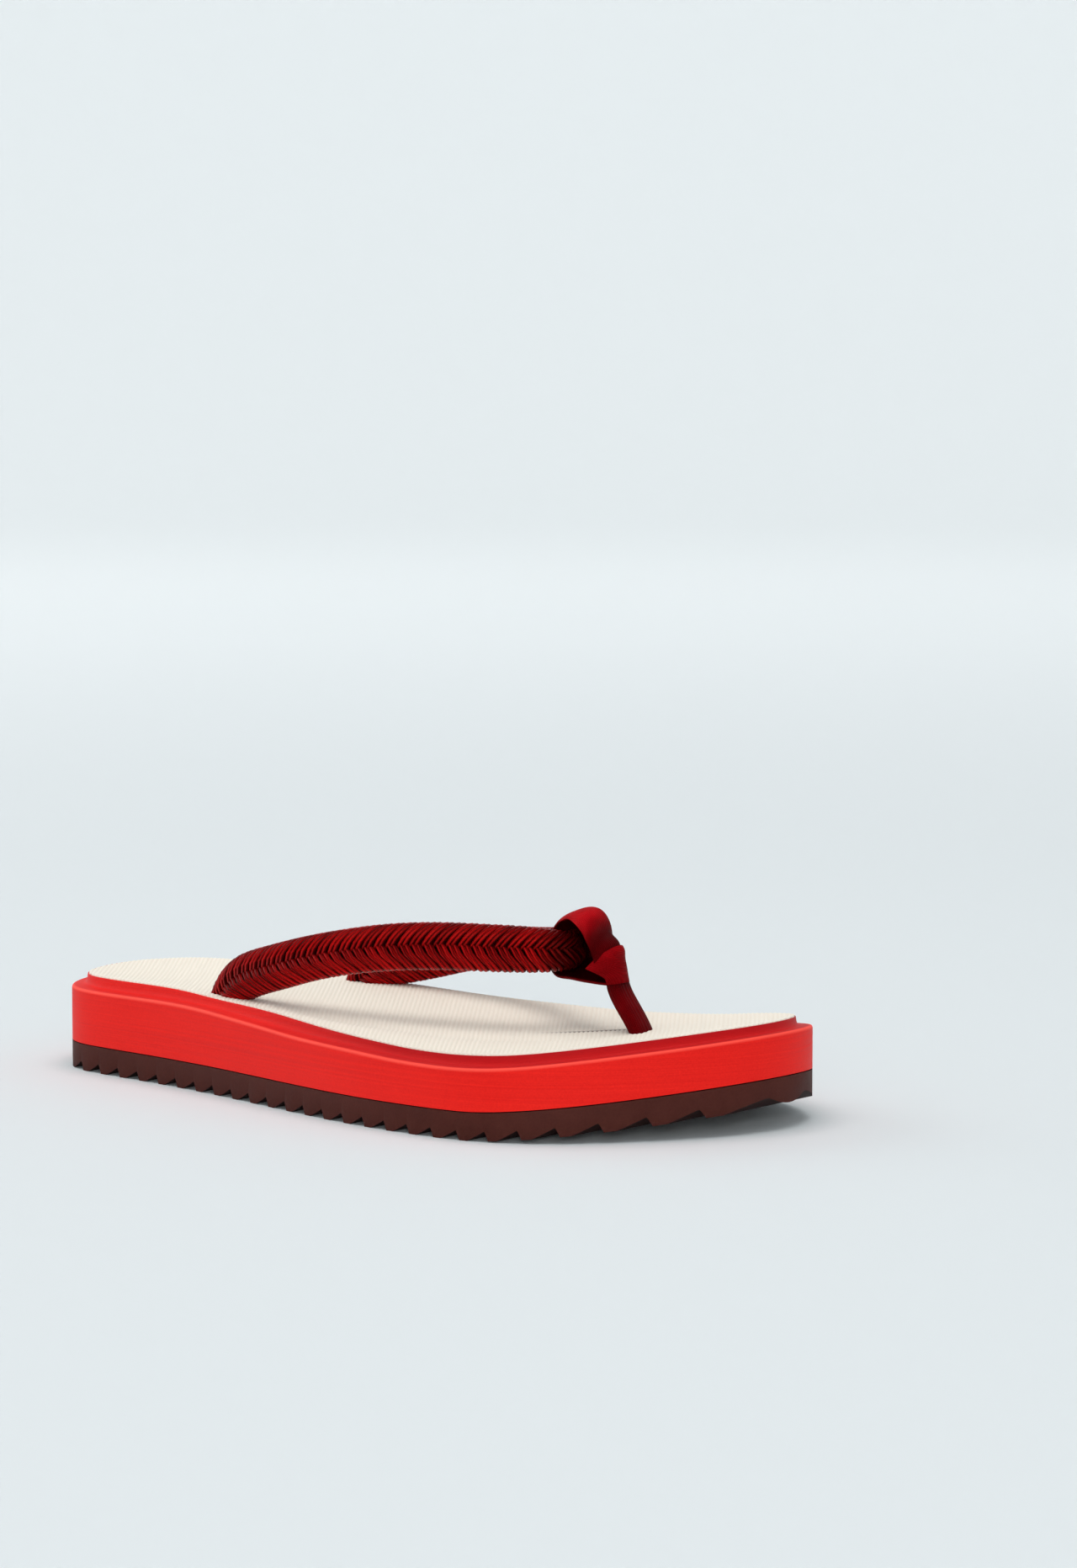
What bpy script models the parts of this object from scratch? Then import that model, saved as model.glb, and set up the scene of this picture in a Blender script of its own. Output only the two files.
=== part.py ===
"""Braided-cord thong sandal, right foot: sawtooth outsole, foam midsole, ribbed footbed, strap and toe loop.

The row frame has its origin under the middle of the sole, +X to the toe, +Y to the inner side of the
foot and +Z up. The tables below count x in millimetres from the back of the heel.
"""

import math

import bmesh
import bpy
import numpy as np
from mathutils import Vector

MM = 0.001

# ---- driving dimensions, in millimetres -----------------------------------------------------------
SOLE_LENGTH = 252.0
RUBBER_TOP = 8.2          # thickness of the rubber where the sole lies flat
TOOTH_HEIGHT = 2.8
TOOTH_PITCH = 8.95
FIRST_NOTCH = 9.3         # from the back of the heel
STEEP_SHARE = 0.13        # share of a tooth taken by its steep face
TIP_LAND = 2.4            # flat that each tooth stands on
TOE_SPRING = 7.5
SPRING_START = 190.0
SEAT_GAP = 0.3            # glue line left between pieces that meet
LEDGE_WIDTH = 5.0         # foam ledge around the footbed
FOOTBED_THICKNESS = 1.3
EDGE_ROUNDING = 0.35      # bevel of the footbed's upper edge
BRAID_PITCH = 3.6
BRAID_RAKE = 6.2          # how far a strand group runs forward between midline and edge
BRAID_RELIEF = 0.9
BRAID_LEVEL = 0.75        # share of a strand's relief that is taken back, so that the size is the mean
VALLEY_DEPTH = 0.9        # groove where the strand groups meet on each face
VALLEY_WIDTH = 0.16       # its width, as a share of half the strap's height
STRAND_FULLNESS = 0.7     # below 1 a strand is fuller than a sine
SECTION_FULLNESS = 0.85   # below 1 a strap section is fuller than an oval
SMOOTH_BELOW = 31.0       # height under which the strap is plain, for its pocket
BRAID_FADE = 4.0          # height over which the braid grows to its full relief
STRAP_BED_GAP = 0.4       # clearance of the pockets that the strap ends and the toe post sit in
POCKET_REACH = 27.0       # length of strap that a pocket is cut around
POCKET_OVERRUN = 0.6      # how far a pocket runs on past the end of what sits in it
GUSSET_THICKNESS = 1.2
RIBBON_EDGE = 0.35        # share of its thickness that the ribbon loses at its edges

# ---- how finely the curved pieces are cut ----------------------------------------------------------
END_STATIONS = (0.15, 0.8, 1.8, 3.2, 5.2, 12.0, 15.0)   # extra sole sections near heel and toe
EDGE_COUNT = 44           # steps along each side of the sole
CROSS_COUNT = 8           # steps across it
SECTION_COUNT = 14        # sides of the strap
SECTION_STEP = BRAID_PITCH / 3.0
POCKET_STEP = 2.0
ARCH_POINTS = 5           # points across the ribbon
RIBBON_STEPS = 2          # sections to each row of the ribbon's tables

# Outline of the sole: x, y of the outer (lateral) edge, y of the inner (medial) edge.
OUTLINE = (
    # x      lateral  medial
    (0.0,    0.0,     0.0),
    (5.0,    -20.5,   17.0),
    (14.0,   -30.2,   26.5),
    (28.0,   -34.2,   31.5),
    (55.0,   -37.6,   33.0),
    (85.0,   -43.0,   31.0),
    (118.0,  -50.9,   34.0),
    (150.0,  -57.3,   42.0),
    (175.0,  -59.3,   49.5),
    (199.0,  -56.5,   54.0),
    (218.0,  -45.0,   53.0),
    (234.0,  -27.0,   45.6),
    (246.0,  -8.0,    34.6),
    (252.0,  15.0,    15.0),
)

# Height of the footbed's seat along the sole.
SEAT = (
    # x      height
    (0.0,    27.6),
    (40.0,   27.7),
    (62.0,   27.6),
    (76.0,   26.9),
    (90.0,   26.5),
    (106.0,  26.0),
    (122.0,  25.0),
    (137.0,  24.1),
    (153.0,  23.3),
    (166.0,  22.7),
    (180.0,  22.5),
    (191.0,  22.8),
    (201.0,  23.4),
    (215.0,  25.0),
    (229.0,  27.0),
    (241.0,  28.8),
    (252.0,  30.3),
)

# Height of the midsole's outer top edge along the sole.
WALL_TOP = (
    # x      height
    (0.0,    25.2),
    (40.0,   25.2),
    (72.0,   25.1),
    (87.0,   24.3),
    (104.0,  23.4),
    (120.0,  22.5),
    (136.0,  22.0),
    (151.0,  21.5),
    (165.0,  20.9),
    (180.0,  20.6),
    (190.0,  20.7),
    (201.0,  21.3),
    (215.0,  22.9),
    (229.0,  24.9),
    (241.0,  26.7),
    (252.0,  28.5),
)

# Moulded relief of the footbed: dish below the edge, and the soft channel inside the outer edge.
DISH = (
    # x      depth
    (0.0,    0.0),
    (22.0,   1.2),
    (60.0,   1.6),
    (100.0,  1.0),
    (150.0,  0.8),
    (200.0,  0.7),
    (232.0,  0.3),
    (252.0,  0.0),
)
CHANNEL = (
    # x      y       depth
    (95.0,   -31.5,  0.0),
    (110.5,  -33.0,  0.9),
    (138.0,  -30.4,  1.0),
    (156.0,  -28.2,  0.7),
    (171.5,  -22.3,  0.8),
    (185.0,  -12.0,  0.9),
    (193.0,  -3.7,   1.0),
    (201.0,  5.0,    0.8),
    (209.0,  12.0,   0.0),
)
CHANNEL_WIDTH = 4.5

# Centre line of the strap, from the outer end over the nose to the inner end.
STRAP_ROUTE = (
    # x      y       z       height  thickness
    (70.0,    -26.0,  20.6,   12.4,   8.0),
    (72.2,    -26.4,  24.3,   12.8,   8.4),
    (75.2,    -27.0,  28.4,   13.6,   8.8),
    (79.4,    -27.8,  32.1,   14.3,   9.2),
    (85.6,    -28.8,  35.1,   14.7,   9.4),
    (92.2,    -29.4,  37.2,   14.7,   9.4),
    (98.5,    -29.6,  39.0,   14.7,   9.4),
    (106.0,   -28.9,  41.2,   14.5,   9.4),
    (114.0,   -27.2,  43.2,   14.4,   9.4),
    (123.0,   -24.4,  45.0,   14.5,   9.4),
    (132.0,   -20.9,  46.3,   14.8,   9.4),
    (141.0,   -16.9,  47.0,   15.0,   9.4),
    (150.5,   -12.1,  47.2,   15.0,   9.4),
    (159.0,   -7.4,   47.0,   14.9,   9.4),
    (165.6,   -3.3,   46.8,   14.7,   9.2),
    (170.8,   0.9,    46.5,   14.2,   8.6),
    (174.6,   5.0,    46.2,   13.2,   7.8),
    (176.0,   9.2,    46.0,   12.4,   7.4),
    (174.2,   13.2,   45.7,   12.6,   7.8),
    (170.2,   16.8,   45.2,   13.0,   8.6),
    (164.8,   20.4,   44.4,   13.4,   9.2),
    (158.4,   24.0,   43.4,   13.6,   9.4),
    (151.0,   27.2,   42.4,   13.8,   9.4),
    (142.5,   29.0,   41.7,   13.8,   9.4),
    (133.5,   29.6,   41.1,   13.9,   9.4),
    (124.5,   29.2,   40.2,   14.1,   9.4),
    (116.5,   28.2,   38.4,   14.3,   9.4),
    (109.0,   26.9,   36.5,   14.4,   9.4),
    (102.2,   25.6,   34.9,   14.4,   9.4),
    (95.8,    24.4,   33.3,   14.2,   9.2),
    (90.4,    23.5,   31.0,   13.8,   9.0),
    (86.7,    22.9,   27.9,   13.2,   8.6),
    (84.8,    22.6,   24.2,   12.6,   8.2),
    (84.0,    22.5,   20.6,   12.2,   8.0),
)

# Ribbon of the toe loop, as cross-sections along its run. Sag is how far the edges drop back.
RIBBON = (
    # x      y       z       width   thick   sag
    (170.4,   9.2,    38.6,   3.0,    1.6,    0.0),
    (170.4,   9.2,    46.5,   3.0,    1.6,    0.0),
    (171.1,   9.3,    51.4,   4.4,    1.6,    0.1),
    (173.2,   9.6,    54.0,   6.6,    1.8,    0.6),
    (176.2,   9.8,    55.9,   9.0,    1.9,    1.8),
    (180.0,   9.6,    57.7,   11.0,   2.0,    3.4),
    (184.0,   9.4,    58.5,   13.0,   2.0,    4.6),
    (187.2,   9.0,    57.4,   14.4,   2.0,    4.6),
    (188.9,   8.6,    55.0,   14.4,   2.0,    4.0),
    (189.7,   8.4,    52.0,   14.0,   2.0,    3.2),
    (191.8,   8.8,    49.6,   13.2,   2.2,    3.2),
    (193.6,   9.2,    47.4,   12.6,   2.6,    3.6),
    (194.2,   9.2,    44.4,   11.6,   2.8,    3.2),
    (194.6,   9.2,    41.4,   10.2,   3.2,    2.4),
    (194.7,   9.3,    38.9,   8.8,    4.2,    0.8),
    (194.1,   9.4,    36.8,   8.0,    4.6,    0.0),
    (195.7,   9.6,    33.8,   8.2,    4.8,    0.0),
    (197.7,   10.3,   30.2,   8.2,    4.8,    0.0),
    (200.2,   11.5,   25.2,   8.1,    4.7,    0.0),
    (202.2,   12.5,   19.9,   8.0,    4.6,    0.0),
)

# Gusset of the toe loop: the ribbon folded under the nose. Rise is how far its edges turn up.
GUSSET = (
    # x      y       z       width   rise
    (169.8,   9.2,    38.6,   3.0,    0.0),
    (173.0,   9.3,    38.6,   5.0,    0.1),
    (177.5,   9.8,    38.5,   8.0,    0.4),
    (182.5,   9.8,    38.3,   10.5,   1.8),
    (187.0,   9.4,    38.1,   11.8,   3.4),
    (191.0,   9.2,    38.1,   10.6,   4.4),
    (194.2,   9.1,    38.6,   8.4,    3.6),
)

# Colours as linear RGB, with roughness and metallic value.
FINISHES = {
    "outsole": ((0.050, 0.016, 0.013), 0.75, 0.0),
    "midsole": ((0.775, 0.022, 0.018), 0.60, 0.0),
    "footbed": ((0.875, 0.800, 0.690), 0.70, 0.0),
    "braided_strap": ((0.330, 0.006, 0.008), 0.38, 0.0),
    "toe_loop": ((0.150, 0.004, 0.008), 0.55, 0.0),
}


# ---- interpolation --------------------------------------------------------------------------------
def column(rows, index):
    """Return one column of a table as an array."""
    return np.array([row[index] for row in rows], dtype=float)


def spline_slopes(knots, values):
    """Slopes of the smooth cubic through values at the knots, free at both ends."""
    count = len(knots)
    matrix = np.zeros((count, count))
    right = np.zeros(count)
    for i, j in ((0, 1), (count - 1, count - 2)):
        matrix[i, i], matrix[i, j] = 2.0, 1.0
        right[i] = 3.0 * (values[j] - values[i]) / (knots[j] - knots[i])
    for i in range(1, count - 1):
        before = knots[i] - knots[i - 1]
        after = knots[i + 1] - knots[i]
        matrix[i, i - 1] = 1.0 / before
        matrix[i, i] = 2.0 / before + 2.0 / after
        matrix[i, i + 1] = 1.0 / after
        right[i] = 3.0 * ((values[i] - values[i - 1]) / before**2 + (values[i + 1] - values[i]) / after**2)
    return np.linalg.solve(matrix, right)


def hermite(knots, values, slopes, at):
    """Cubic through values with the given slopes, read at one or more places."""
    at = np.clip(np.asarray(at, dtype=float), knots[0], knots[-1])
    i = np.clip(np.searchsorted(knots, at, side="right") - 1, 0, len(knots) - 2)
    step = knots[i + 1] - knots[i]
    t = (at - knots[i]) / step
    return ((2 * t**3 - 3 * t**2 + 1) * values[i] + (t**3 - 2 * t**2 + t) * step * slopes[i]
            + (-2 * t**3 + 3 * t**2) * values[i + 1] + (t**3 - t**2) * step * slopes[i + 1])


def read_table(rows, index, at):
    """Smooth value of one column of a table at x."""
    knots = column(rows, 0)
    values = column(rows, index)
    return hermite(knots, values, spline_slopes(knots, values), at)


class Outline:
    """Closed smooth outline of the sole, read at an angle that runs once around it."""

    def __init__(self):
        angles = np.arccos(1.0 - 2.0 * column(OUTLINE, 0) / SOLE_LENGTH)
        inner = [(2 * math.pi - a, row[2]) for a, row in zip(angles, OUTLINE)][1:-1]
        loop = [(a, row[1]) for a, row in zip(angles, OUTLINE)] + inner[::-1]
        closed = loop + [(2 * math.pi, loop[0][1])]
        padded = ([(a - 2 * math.pi, y) for a, y in loop[-4:]] + closed
                  + [(a + 2 * math.pi, y) for a, y in loop[1:5]])
        self.knots = np.array([a for a, _ in padded])
        self.values = np.array([y for _, y in padded])
        self.slopes = spline_slopes(self.knots, self.values)

    def point(self, angle):
        """Plan position at an angle: 0 at the heel, pi at the toe, outer side first."""
        angle = np.asarray(angle, dtype=float)
        x = SOLE_LENGTH * (1.0 - np.cos(angle)) / 2.0
        return np.stack([x, hermite(self.knots, self.values, self.slopes, angle)], axis=-1)

    def inset(self, angle, distance):
        """Plan position at an angle, moved inward from the edge."""
        step = 1e-4
        along = self.point(np.asarray(angle) + step) - self.point(np.asarray(angle) - step)
        length = np.linalg.norm(along, axis=-1, keepdims=True)
        inward = np.stack([-along[..., 1], along[..., 0]], axis=-1) / length
        return self.point(angle) + inward * distance

    def middle(self):
        """Middle of the sole's width, between its widest points."""
        y = self.point(np.linspace(0.0, 2.0 * math.pi, 1441))[:, 1]
        return float(y.min() + y.max()) / 2.0

    def edges_at(self, x):
        """Outer and inner y of the edge at a station x."""
        angle = math.acos(min(1.0, max(-1.0, 1.0 - 2.0 * x / SOLE_LENGTH)))
        return float(self.point(angle)[1]), float(self.point(2 * math.pi - angle)[1])


OUTLINE_LOOP = Outline()


def spring(x):
    """Lift of the sole's underside toward the toe."""
    share = np.clip((np.asarray(x, dtype=float) - SPRING_START) / (SOLE_LENGTH - SPRING_START), 0.0, 1.0)
    return TOE_SPRING * share**1.5


def seat_height(x):
    """Height of the footbed's seat at x."""
    return read_table(SEAT, 1, x)


def wall_top_height(x):
    """Height of the midsole's outer top edge at x."""
    return read_table(WALL_TOP, 1, x)


def footbed_relief(x, y, share):
    """Depth of the moulded relief. Share runs from 0 at the outer edge to 1 at the inner edge."""
    dish = read_table(DISH, 1, x) * np.sin(np.pi * np.clip(share, 0.0, 1.0)) ** 0.8
    depth = np.clip(read_table(CHANNEL, 2, x), 0.0, None)
    offset = (y - read_table(CHANNEL, 1, x)) / CHANNEL_WIDTH
    inside = (np.asarray(x) > CHANNEL[0][0]) & (np.asarray(x) < CHANNEL[-1][0])
    return dish + np.where(inside, depth * np.exp(-offset**2), 0.0)


# ---- mesh helpers ---------------------------------------------------------------------------------
MIDDLE = Vector((SOLE_LENGTH / 2.0, OUTLINE_LOOP.middle(), 0.0))


def row_point(x, y, z):
    """Table position to the row frame, in metres."""
    return (Vector((float(x), float(y), float(z))) - MIDDLE) * MM


def table_place(point):
    """Row position, in metres, back to the tables' millimetres."""
    return point / MM + MIDDLE


def material(name):
    """Principled material from the finishes table."""
    colour, roughness, metallic = FINISHES[name]
    made = bpy.data.materials.new(name)
    made.use_nodes = True
    shader = made.node_tree.nodes["Principled BSDF"]
    shader.inputs["Base Color"].default_value = (*colour, 1.0)
    shader.inputs["Roughness"].default_value = roughness
    shader.inputs["Metallic"].default_value = metallic
    return made


def finish_object(name, mesh_bmesh, finish=None, sharp_degrees=40.0):
    """Turn a bmesh into a named, shaded object."""
    bmesh.ops.recalc_face_normals(mesh_bmesh, faces=mesh_bmesh.faces)
    mesh = bpy.data.meshes.new(name)
    mesh_bmesh.to_mesh(mesh)
    mesh_bmesh.free()
    made = bpy.data.objects.new(name, mesh)
    bpy.context.scene.collection.objects.link(made)
    if finish:
        mesh.materials.append(material(finish))
        mesh.shade_smooth()
        mesh.set_sharp_from_angle(angle=math.radians(sharp_degrees))
    else:
        made.hide_render = True
        made.display_type = "WIRE"
    return made


def bridge_rings(mesh_bmesh, rings, cap_ends=True):
    """Join equal closed rings of vertices into a tube, with its ends closed."""
    count = len(rings[0])
    for first, second in zip(rings, rings[1:]):
        for i in range(count):
            j = (i + 1) % count
            mesh_bmesh.faces.new((first[i], first[j], second[j], second[i]))
    if cap_ends:
        mesh_bmesh.faces.new(rings[0])
        mesh_bmesh.faces.new(rings[-1])


def combine(target, tool, operation):
    """Add an exact boolean of the tool to the target."""
    step = target.modifiers.new(f"{operation.lower()} {tool.name}", "BOOLEAN")
    step.operation = operation
    step.solver = "EXACT"
    step.object = tool


# ---- outsole --------------------------------------------------------------------------------------
def tooth_breaks():
    """Stations of the sawtooth tread and their height: notch, steep face, flat land of the tip."""
    breaks = {}
    notch = FIRST_NOTCH - TOOTH_PITCH
    while notch < SOLE_LENGTH + TOOTH_PITCH:
        tip = notch + TOOTH_PITCH * STEEP_SHARE
        breaks[notch] = TOOTH_HEIGHT
        breaks[tip] = 0.0
        breaks[tip + TIP_LAND] = 0.0
        notch += TOOTH_PITCH
    return breaks


def build_outsole():
    """Rubber outsole with straight sawtooth lugs across its full width."""
    breaks = tooth_breaks()
    stations = sorted(breaks)
    heights = [breaks[x] for x in stations]
    ends = list(END_STATIONS) + [SOLE_LENGTH - x for x in END_STATIONS]
    first, last = min(ends), max(ends)
    cuts = sorted({round(x, 3) for x in stations + ends if first <= x <= last})
    mesh_bmesh = bmesh.new()
    rings = []
    for x in cuts:
        outer, inner = OUTLINE_LOOP.edges_at(x)
        lift = float(spring(x))
        bottom = float(np.interp(x, stations, heights)) + lift
        top = RUBBER_TOP + lift - SEAT_GAP / 2.0
        corners = ((outer, bottom), (inner, bottom), (inner, top), (outer, top))
        rings.append([mesh_bmesh.verts.new(row_point(x, y, z)) for y, z in corners])
    bridge_rings(mesh_bmesh, rings)
    return finish_object("outsole", mesh_bmesh, "outsole", 20.0)


# ---- midsole and footbed --------------------------------------------------------------------------
def loop_vertices(mesh_bmesh, inset, height):
    """Closed loop of vertices around the sole at an inset, with the height worked out from x."""
    angles = np.linspace(0.0, 2.0 * math.pi, 2 * EDGE_COUNT, endpoint=False)
    return [mesh_bmesh.verts.new(row_point(p[0], p[1], height(float(p[0]))))
            for p in OUTLINE_LOOP.inset(angles, inset)]


def fill_loop(mesh_bmesh, loop, height):
    """Close a loop with rungs from the outer to the inner side, and triangles between the rungs."""
    half = len(loop) // 2
    heel, toe = loop[0], loop[half]
    previous = None
    for i in range(1, half):
        outer, inner = loop[i], loop[-i]
        rung = [outer]
        for k in range(1, CROSS_COUNT):
            share = k / CROSS_COUNT
            place = table_place(outer.co.lerp(inner.co, share))
            rung.append(mesh_bmesh.verts.new(
                row_point(place.x, place.y, height(place.x, place.y, share))))
        rung.append(inner)
        if previous is None:
            for a, b in zip(rung, rung[1:]):
                mesh_bmesh.faces.new((heel, a, b))
        else:
            for (a, b), (c, d) in zip(zip(previous, previous[1:]), zip(rung, rung[1:])):
                mesh_bmesh.faces.new((a, b, d))
                mesh_bmesh.faces.new((a, d, c))
        previous = rung
    for a, b in zip(previous, previous[1:]):
        mesh_bmesh.faces.new((toe, b, a))


def stack_loops(mesh_bmesh, loops):
    """Join neighbouring closed loops with a band of faces."""
    bridge_rings(mesh_bmesh, loops, cap_ends=False)


def flat_height(level):
    """Height function for fill_loop from a height along x alone."""
    return lambda x, y, share: float(level(x))


def seat_surface(offset):
    """Height function of the footbed's moulded surface, moved up or down."""
    return lambda x, y, share: float(seat_height(x) - footbed_relief(x, y, share)) + offset


def build_midsole():
    """Foam midsole: upright wall, soft top edge, ledge and raised seat for the footbed."""
    mesh_bmesh = bmesh.new()
    seat_level = -SEAT_GAP / 2.0
    profile = (
        # inset              share of the way from wall top to seat, height above it
        (0.0,                0.0, -1.3),
        (0.45,               0.0, -0.4),
        (1.3,                0.0, 0.0),
        (LEDGE_WIDTH - 1.0,  0.1, 0.0),
        (LEDGE_WIDTH - 0.2,  0.4, 0.0),
        (LEDGE_WIDTH,        1.0, seat_level),
    )

    def level(x, share, above):
        return float((1.0 - share) * wall_top_height(x) + share * seat_height(x)) + above

    def foot(x):
        return RUBBER_TOP + float(spring(x)) + SEAT_GAP / 2.0

    bottom = loop_vertices(mesh_bmesh, 0.0, foot)
    loops = [bottom] + [loop_vertices(mesh_bmesh, inset, lambda x, s=share, a=above: level(x, s, a))
                        for inset, share, above in profile]
    stack_loops(mesh_bmesh, loops)
    fill_loop(mesh_bmesh, loops[-1], seat_surface(seat_level))
    fill_loop(mesh_bmesh, bottom, flat_height(foot))
    return finish_object("midsole", mesh_bmesh, "midsole")


def build_footbed():
    """Moulded top sheet that lies on the midsole's seat."""
    mesh_bmesh = bmesh.new()
    under, over = SEAT_GAP / 2.0, SEAT_GAP / 2.0 + FOOTBED_THICKNESS
    lower = loop_vertices(mesh_bmesh, LEDGE_WIDTH, lambda x: float(seat_height(x)) + under)
    edge = loop_vertices(mesh_bmesh, LEDGE_WIDTH, lambda x: float(seat_height(x)) + over - EDGE_ROUNDING)
    upper = loop_vertices(mesh_bmesh, LEDGE_WIDTH + EDGE_ROUNDING, lambda x: float(seat_height(x)) + over)
    stack_loops(mesh_bmesh, [lower, edge, upper])
    fill_loop(mesh_bmesh, upper, seat_surface(over))
    fill_loop(mesh_bmesh, lower, seat_surface(under))
    return finish_object("footbed", mesh_bmesh, "footbed")


# ---- strap ----------------------------------------------------------------------------------------
class StrapRoute:
    """Smooth centre line of the strap with its size along the way."""

    def __init__(self):
        points = np.array([row[:3] for row in STRAP_ROUTE])
        lengths = np.linalg.norm(np.diff(points, axis=0), axis=1)
        self.knots = np.concatenate([[0.0], np.cumsum(lengths)])
        self.length = float(self.knots[-1])
        self.columns = []
        for index in range(5):
            values = column(STRAP_ROUTE, index)
            self.columns.append((values, spline_slopes(self.knots, values)))
        self.nose = float(self.knots[int(np.argmax(points[:, 0]))])

    def read(self, at):
        """Position, section height and section thickness at a length along the strap."""
        values = [float(hermite(self.knots, v, s, at)) for v, s in self.columns]
        return Vector(values[:3]), values[3], values[4]

    def frame(self, at):
        """Forward, outward and upright directions of the section at a length."""
        step = 0.2
        low, high = max(0.0, at - step), min(self.length, at + step)
        forward = (self.read(high)[0] - self.read(low)[0]).normalized()
        outward = forward.cross(Vector((0.0, 0.0, 1.0))).normalized()
        return forward, outward, outward.cross(forward).normalized()


def braid_height(distance_to_nose, level, clear):
    """Raised strand groups: herringbone rows that rake forward from the midline to the edges."""
    phase = (distance_to_nose + BRAID_RAKE * abs(level)) / BRAID_PITCH
    strand = abs(math.sin(math.pi * phase)) ** STRAND_FULLNESS
    groove = math.exp(-((level / VALLEY_WIDTH) ** 2))
    return clear * (BRAID_RELIEF * (strand - BRAID_LEVEL) - VALLEY_DEPTH * groove)


def strap_sweep(name, start, end, step, grow=0.0, relief=True, finish=None):
    """Closed tube along the strap's route between two lengths."""
    route = StrapRoute()
    count = max(2, int(round((end - start) / step)))
    mesh_bmesh = bmesh.new()
    rings = []
    for i in range(count + 1):
        at = start + (end - start) * i / count
        inside = min(max(at, 0.0), route.length)
        centre, height, thickness = route.read(inside)
        forward, outward, upright = route.frame(inside)
        centre = centre + forward * (at - inside)
        clear = min(1.0, max(0.0, (centre.z - SMOOTH_BELOW) / BRAID_FADE)) if relief else 0.0
        ring = []
        for k in range(SECTION_COUNT):
            angle = 2.0 * math.pi * k / SECTION_COUNT
            across = math.copysign(abs(math.cos(angle)) ** SECTION_FULLNESS, math.cos(angle))
            level = math.copysign(abs(math.sin(angle)) ** SECTION_FULLNESS, math.sin(angle))
            bump = braid_height(abs(at - route.nose), level, clear) + grow
            offset = outward * across * (thickness / 2.0 + bump) + upright * level * (height / 2.0 + bump)
            place = centre + offset
            ring.append(mesh_bmesh.verts.new(row_point(place.x, place.y, place.z)))
        rings.append(ring)
    bridge_rings(mesh_bmesh, rings)
    return finish_object(name, mesh_bmesh, finish)


def build_strap():
    """Braided strap: one cord run from the outer pocket, around the nose, to the inner pocket."""
    return strap_sweep("braided_strap", 0.0, StrapRoute().length, SECTION_STEP, finish="braided_strap")


def strap_pockets():
    """Cutters for the pockets that the two strap ends sit in."""
    length = StrapRoute().length
    ends = (("outer_pocket", -POCKET_OVERRUN, POCKET_REACH),
            ("inner_pocket", length - POCKET_REACH, length + POCKET_OVERRUN))
    return [strap_sweep(name, start, end, POCKET_STEP, STRAP_BED_GAP, relief=False)
            for name, start, end in ends]


# ---- toe loop -------------------------------------------------------------------------------------
def arched_ring(mesh_bmesh, centre, across, back, width, thickness, sag):
    """Ring of a ribbon section: flat face with edges that fall back by the sag."""
    ring = []
    for side in (1, -1):
        shares = [k / (ARCH_POINTS - 1) for k in range(ARCH_POINTS)]
        if side < 0:
            shares = shares[::-1]
        for share in shares:
            level = 2.0 * share - 1.0
            edge = 1.0 - RIBBON_EDGE * abs(level) ** 3
            place = (centre + across * (level * width / 2.0) + back * (sag * level**2)
                     - back * (side * edge * thickness / 2.0))
            ring.append(mesh_bmesh.verts.new(row_point(place.x, place.y, place.z)))
    return ring


def refined(rows, steps):
    """Rows of a table with smooth rows worked out between them."""
    table = np.array(rows, dtype=float)
    lengths = np.linalg.norm(np.diff(table[:, :3], axis=0), axis=1)
    knots = np.concatenate([[0.0], np.cumsum(lengths)])
    at = np.concatenate([np.linspace(a, b, steps, endpoint=False) for a, b in zip(knots, knots[1:])]
                        + [[knots[-1]]])
    return np.stack([hermite(knots, table[:, i], spline_slopes(knots, table[:, i]), at)
                     for i in range(table.shape[1])], axis=-1)


def ribbon_sweep(name, grow=0.0, first=0, finish=None):
    """Ribbon from the crotch over the hood, down the front and along the toe post."""
    rows = refined(RIBBON[first:], RIBBON_STEPS)
    mesh_bmesh = bmesh.new()
    rings = []
    for i, (x, y, z, width, thick, sag) in enumerate(rows):
        low, high = rows[max(0, i - 1)], rows[min(len(rows) - 1, i + 1)]
        forward = Vector(high[:3] - low[:3]).normalized()
        across = Vector((0.0, 1.0, 0.0))
        across = (across - forward * across.dot(forward)).normalized()
        back = across.cross(forward).normalized()
        centre = Vector((x, y, z))
        if grow and i == len(rows) - 1:
            centre = centre + forward * POCKET_OVERRUN
        rings.append(arched_ring(mesh_bmesh, centre, across, back,
                                 width + 2 * grow, thick + 2 * grow, sag))
    bridge_rings(mesh_bmesh, rings)
    return finish_object(name, mesh_bmesh, finish)


def gusset_sweep(name):
    """Folded ribbon under the nose, as a shallow cup that narrows into the front fold."""
    mesh_bmesh = bmesh.new()
    rings = []
    for x, y, z, width, rise in refined(GUSSET, RIBBON_STEPS):
        rings.append(arched_ring(mesh_bmesh, Vector((x, y, z)), Vector((0.0, 1.0, 0.0)),
                                 Vector((0.0, 0.0, 1.0)), width, GUSSET_THICKNESS, rise))
    bridge_rings(mesh_bmesh, rings)
    return finish_object(name, mesh_bmesh)


def build_toe_loop():
    """Ribbon loop around the strap's nose with its toe post."""
    loop = ribbon_sweep("toe_loop", finish="toe_loop")
    combine(loop, gusset_sweep("gusset_fold"), "UNION")
    return loop


def main():
    """Build every piece of the sandal."""
    for old in list(bpy.data.objects):
        bpy.data.objects.remove(old, do_unlink=True)
    build_outsole()
    midsole = build_midsole()
    footbed = build_footbed()
    build_strap()
    build_toe_loop()
    post_rows = len(RIBBON) - 4
    cutters = strap_pockets() + [ribbon_sweep("post_pocket", STRAP_BED_GAP, post_rows)]
    for cutter in cutters:
        combine(midsole, cutter, "DIFFERENCE")
        combine(footbed, cutter, "DIFFERENCE")


main()
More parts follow.
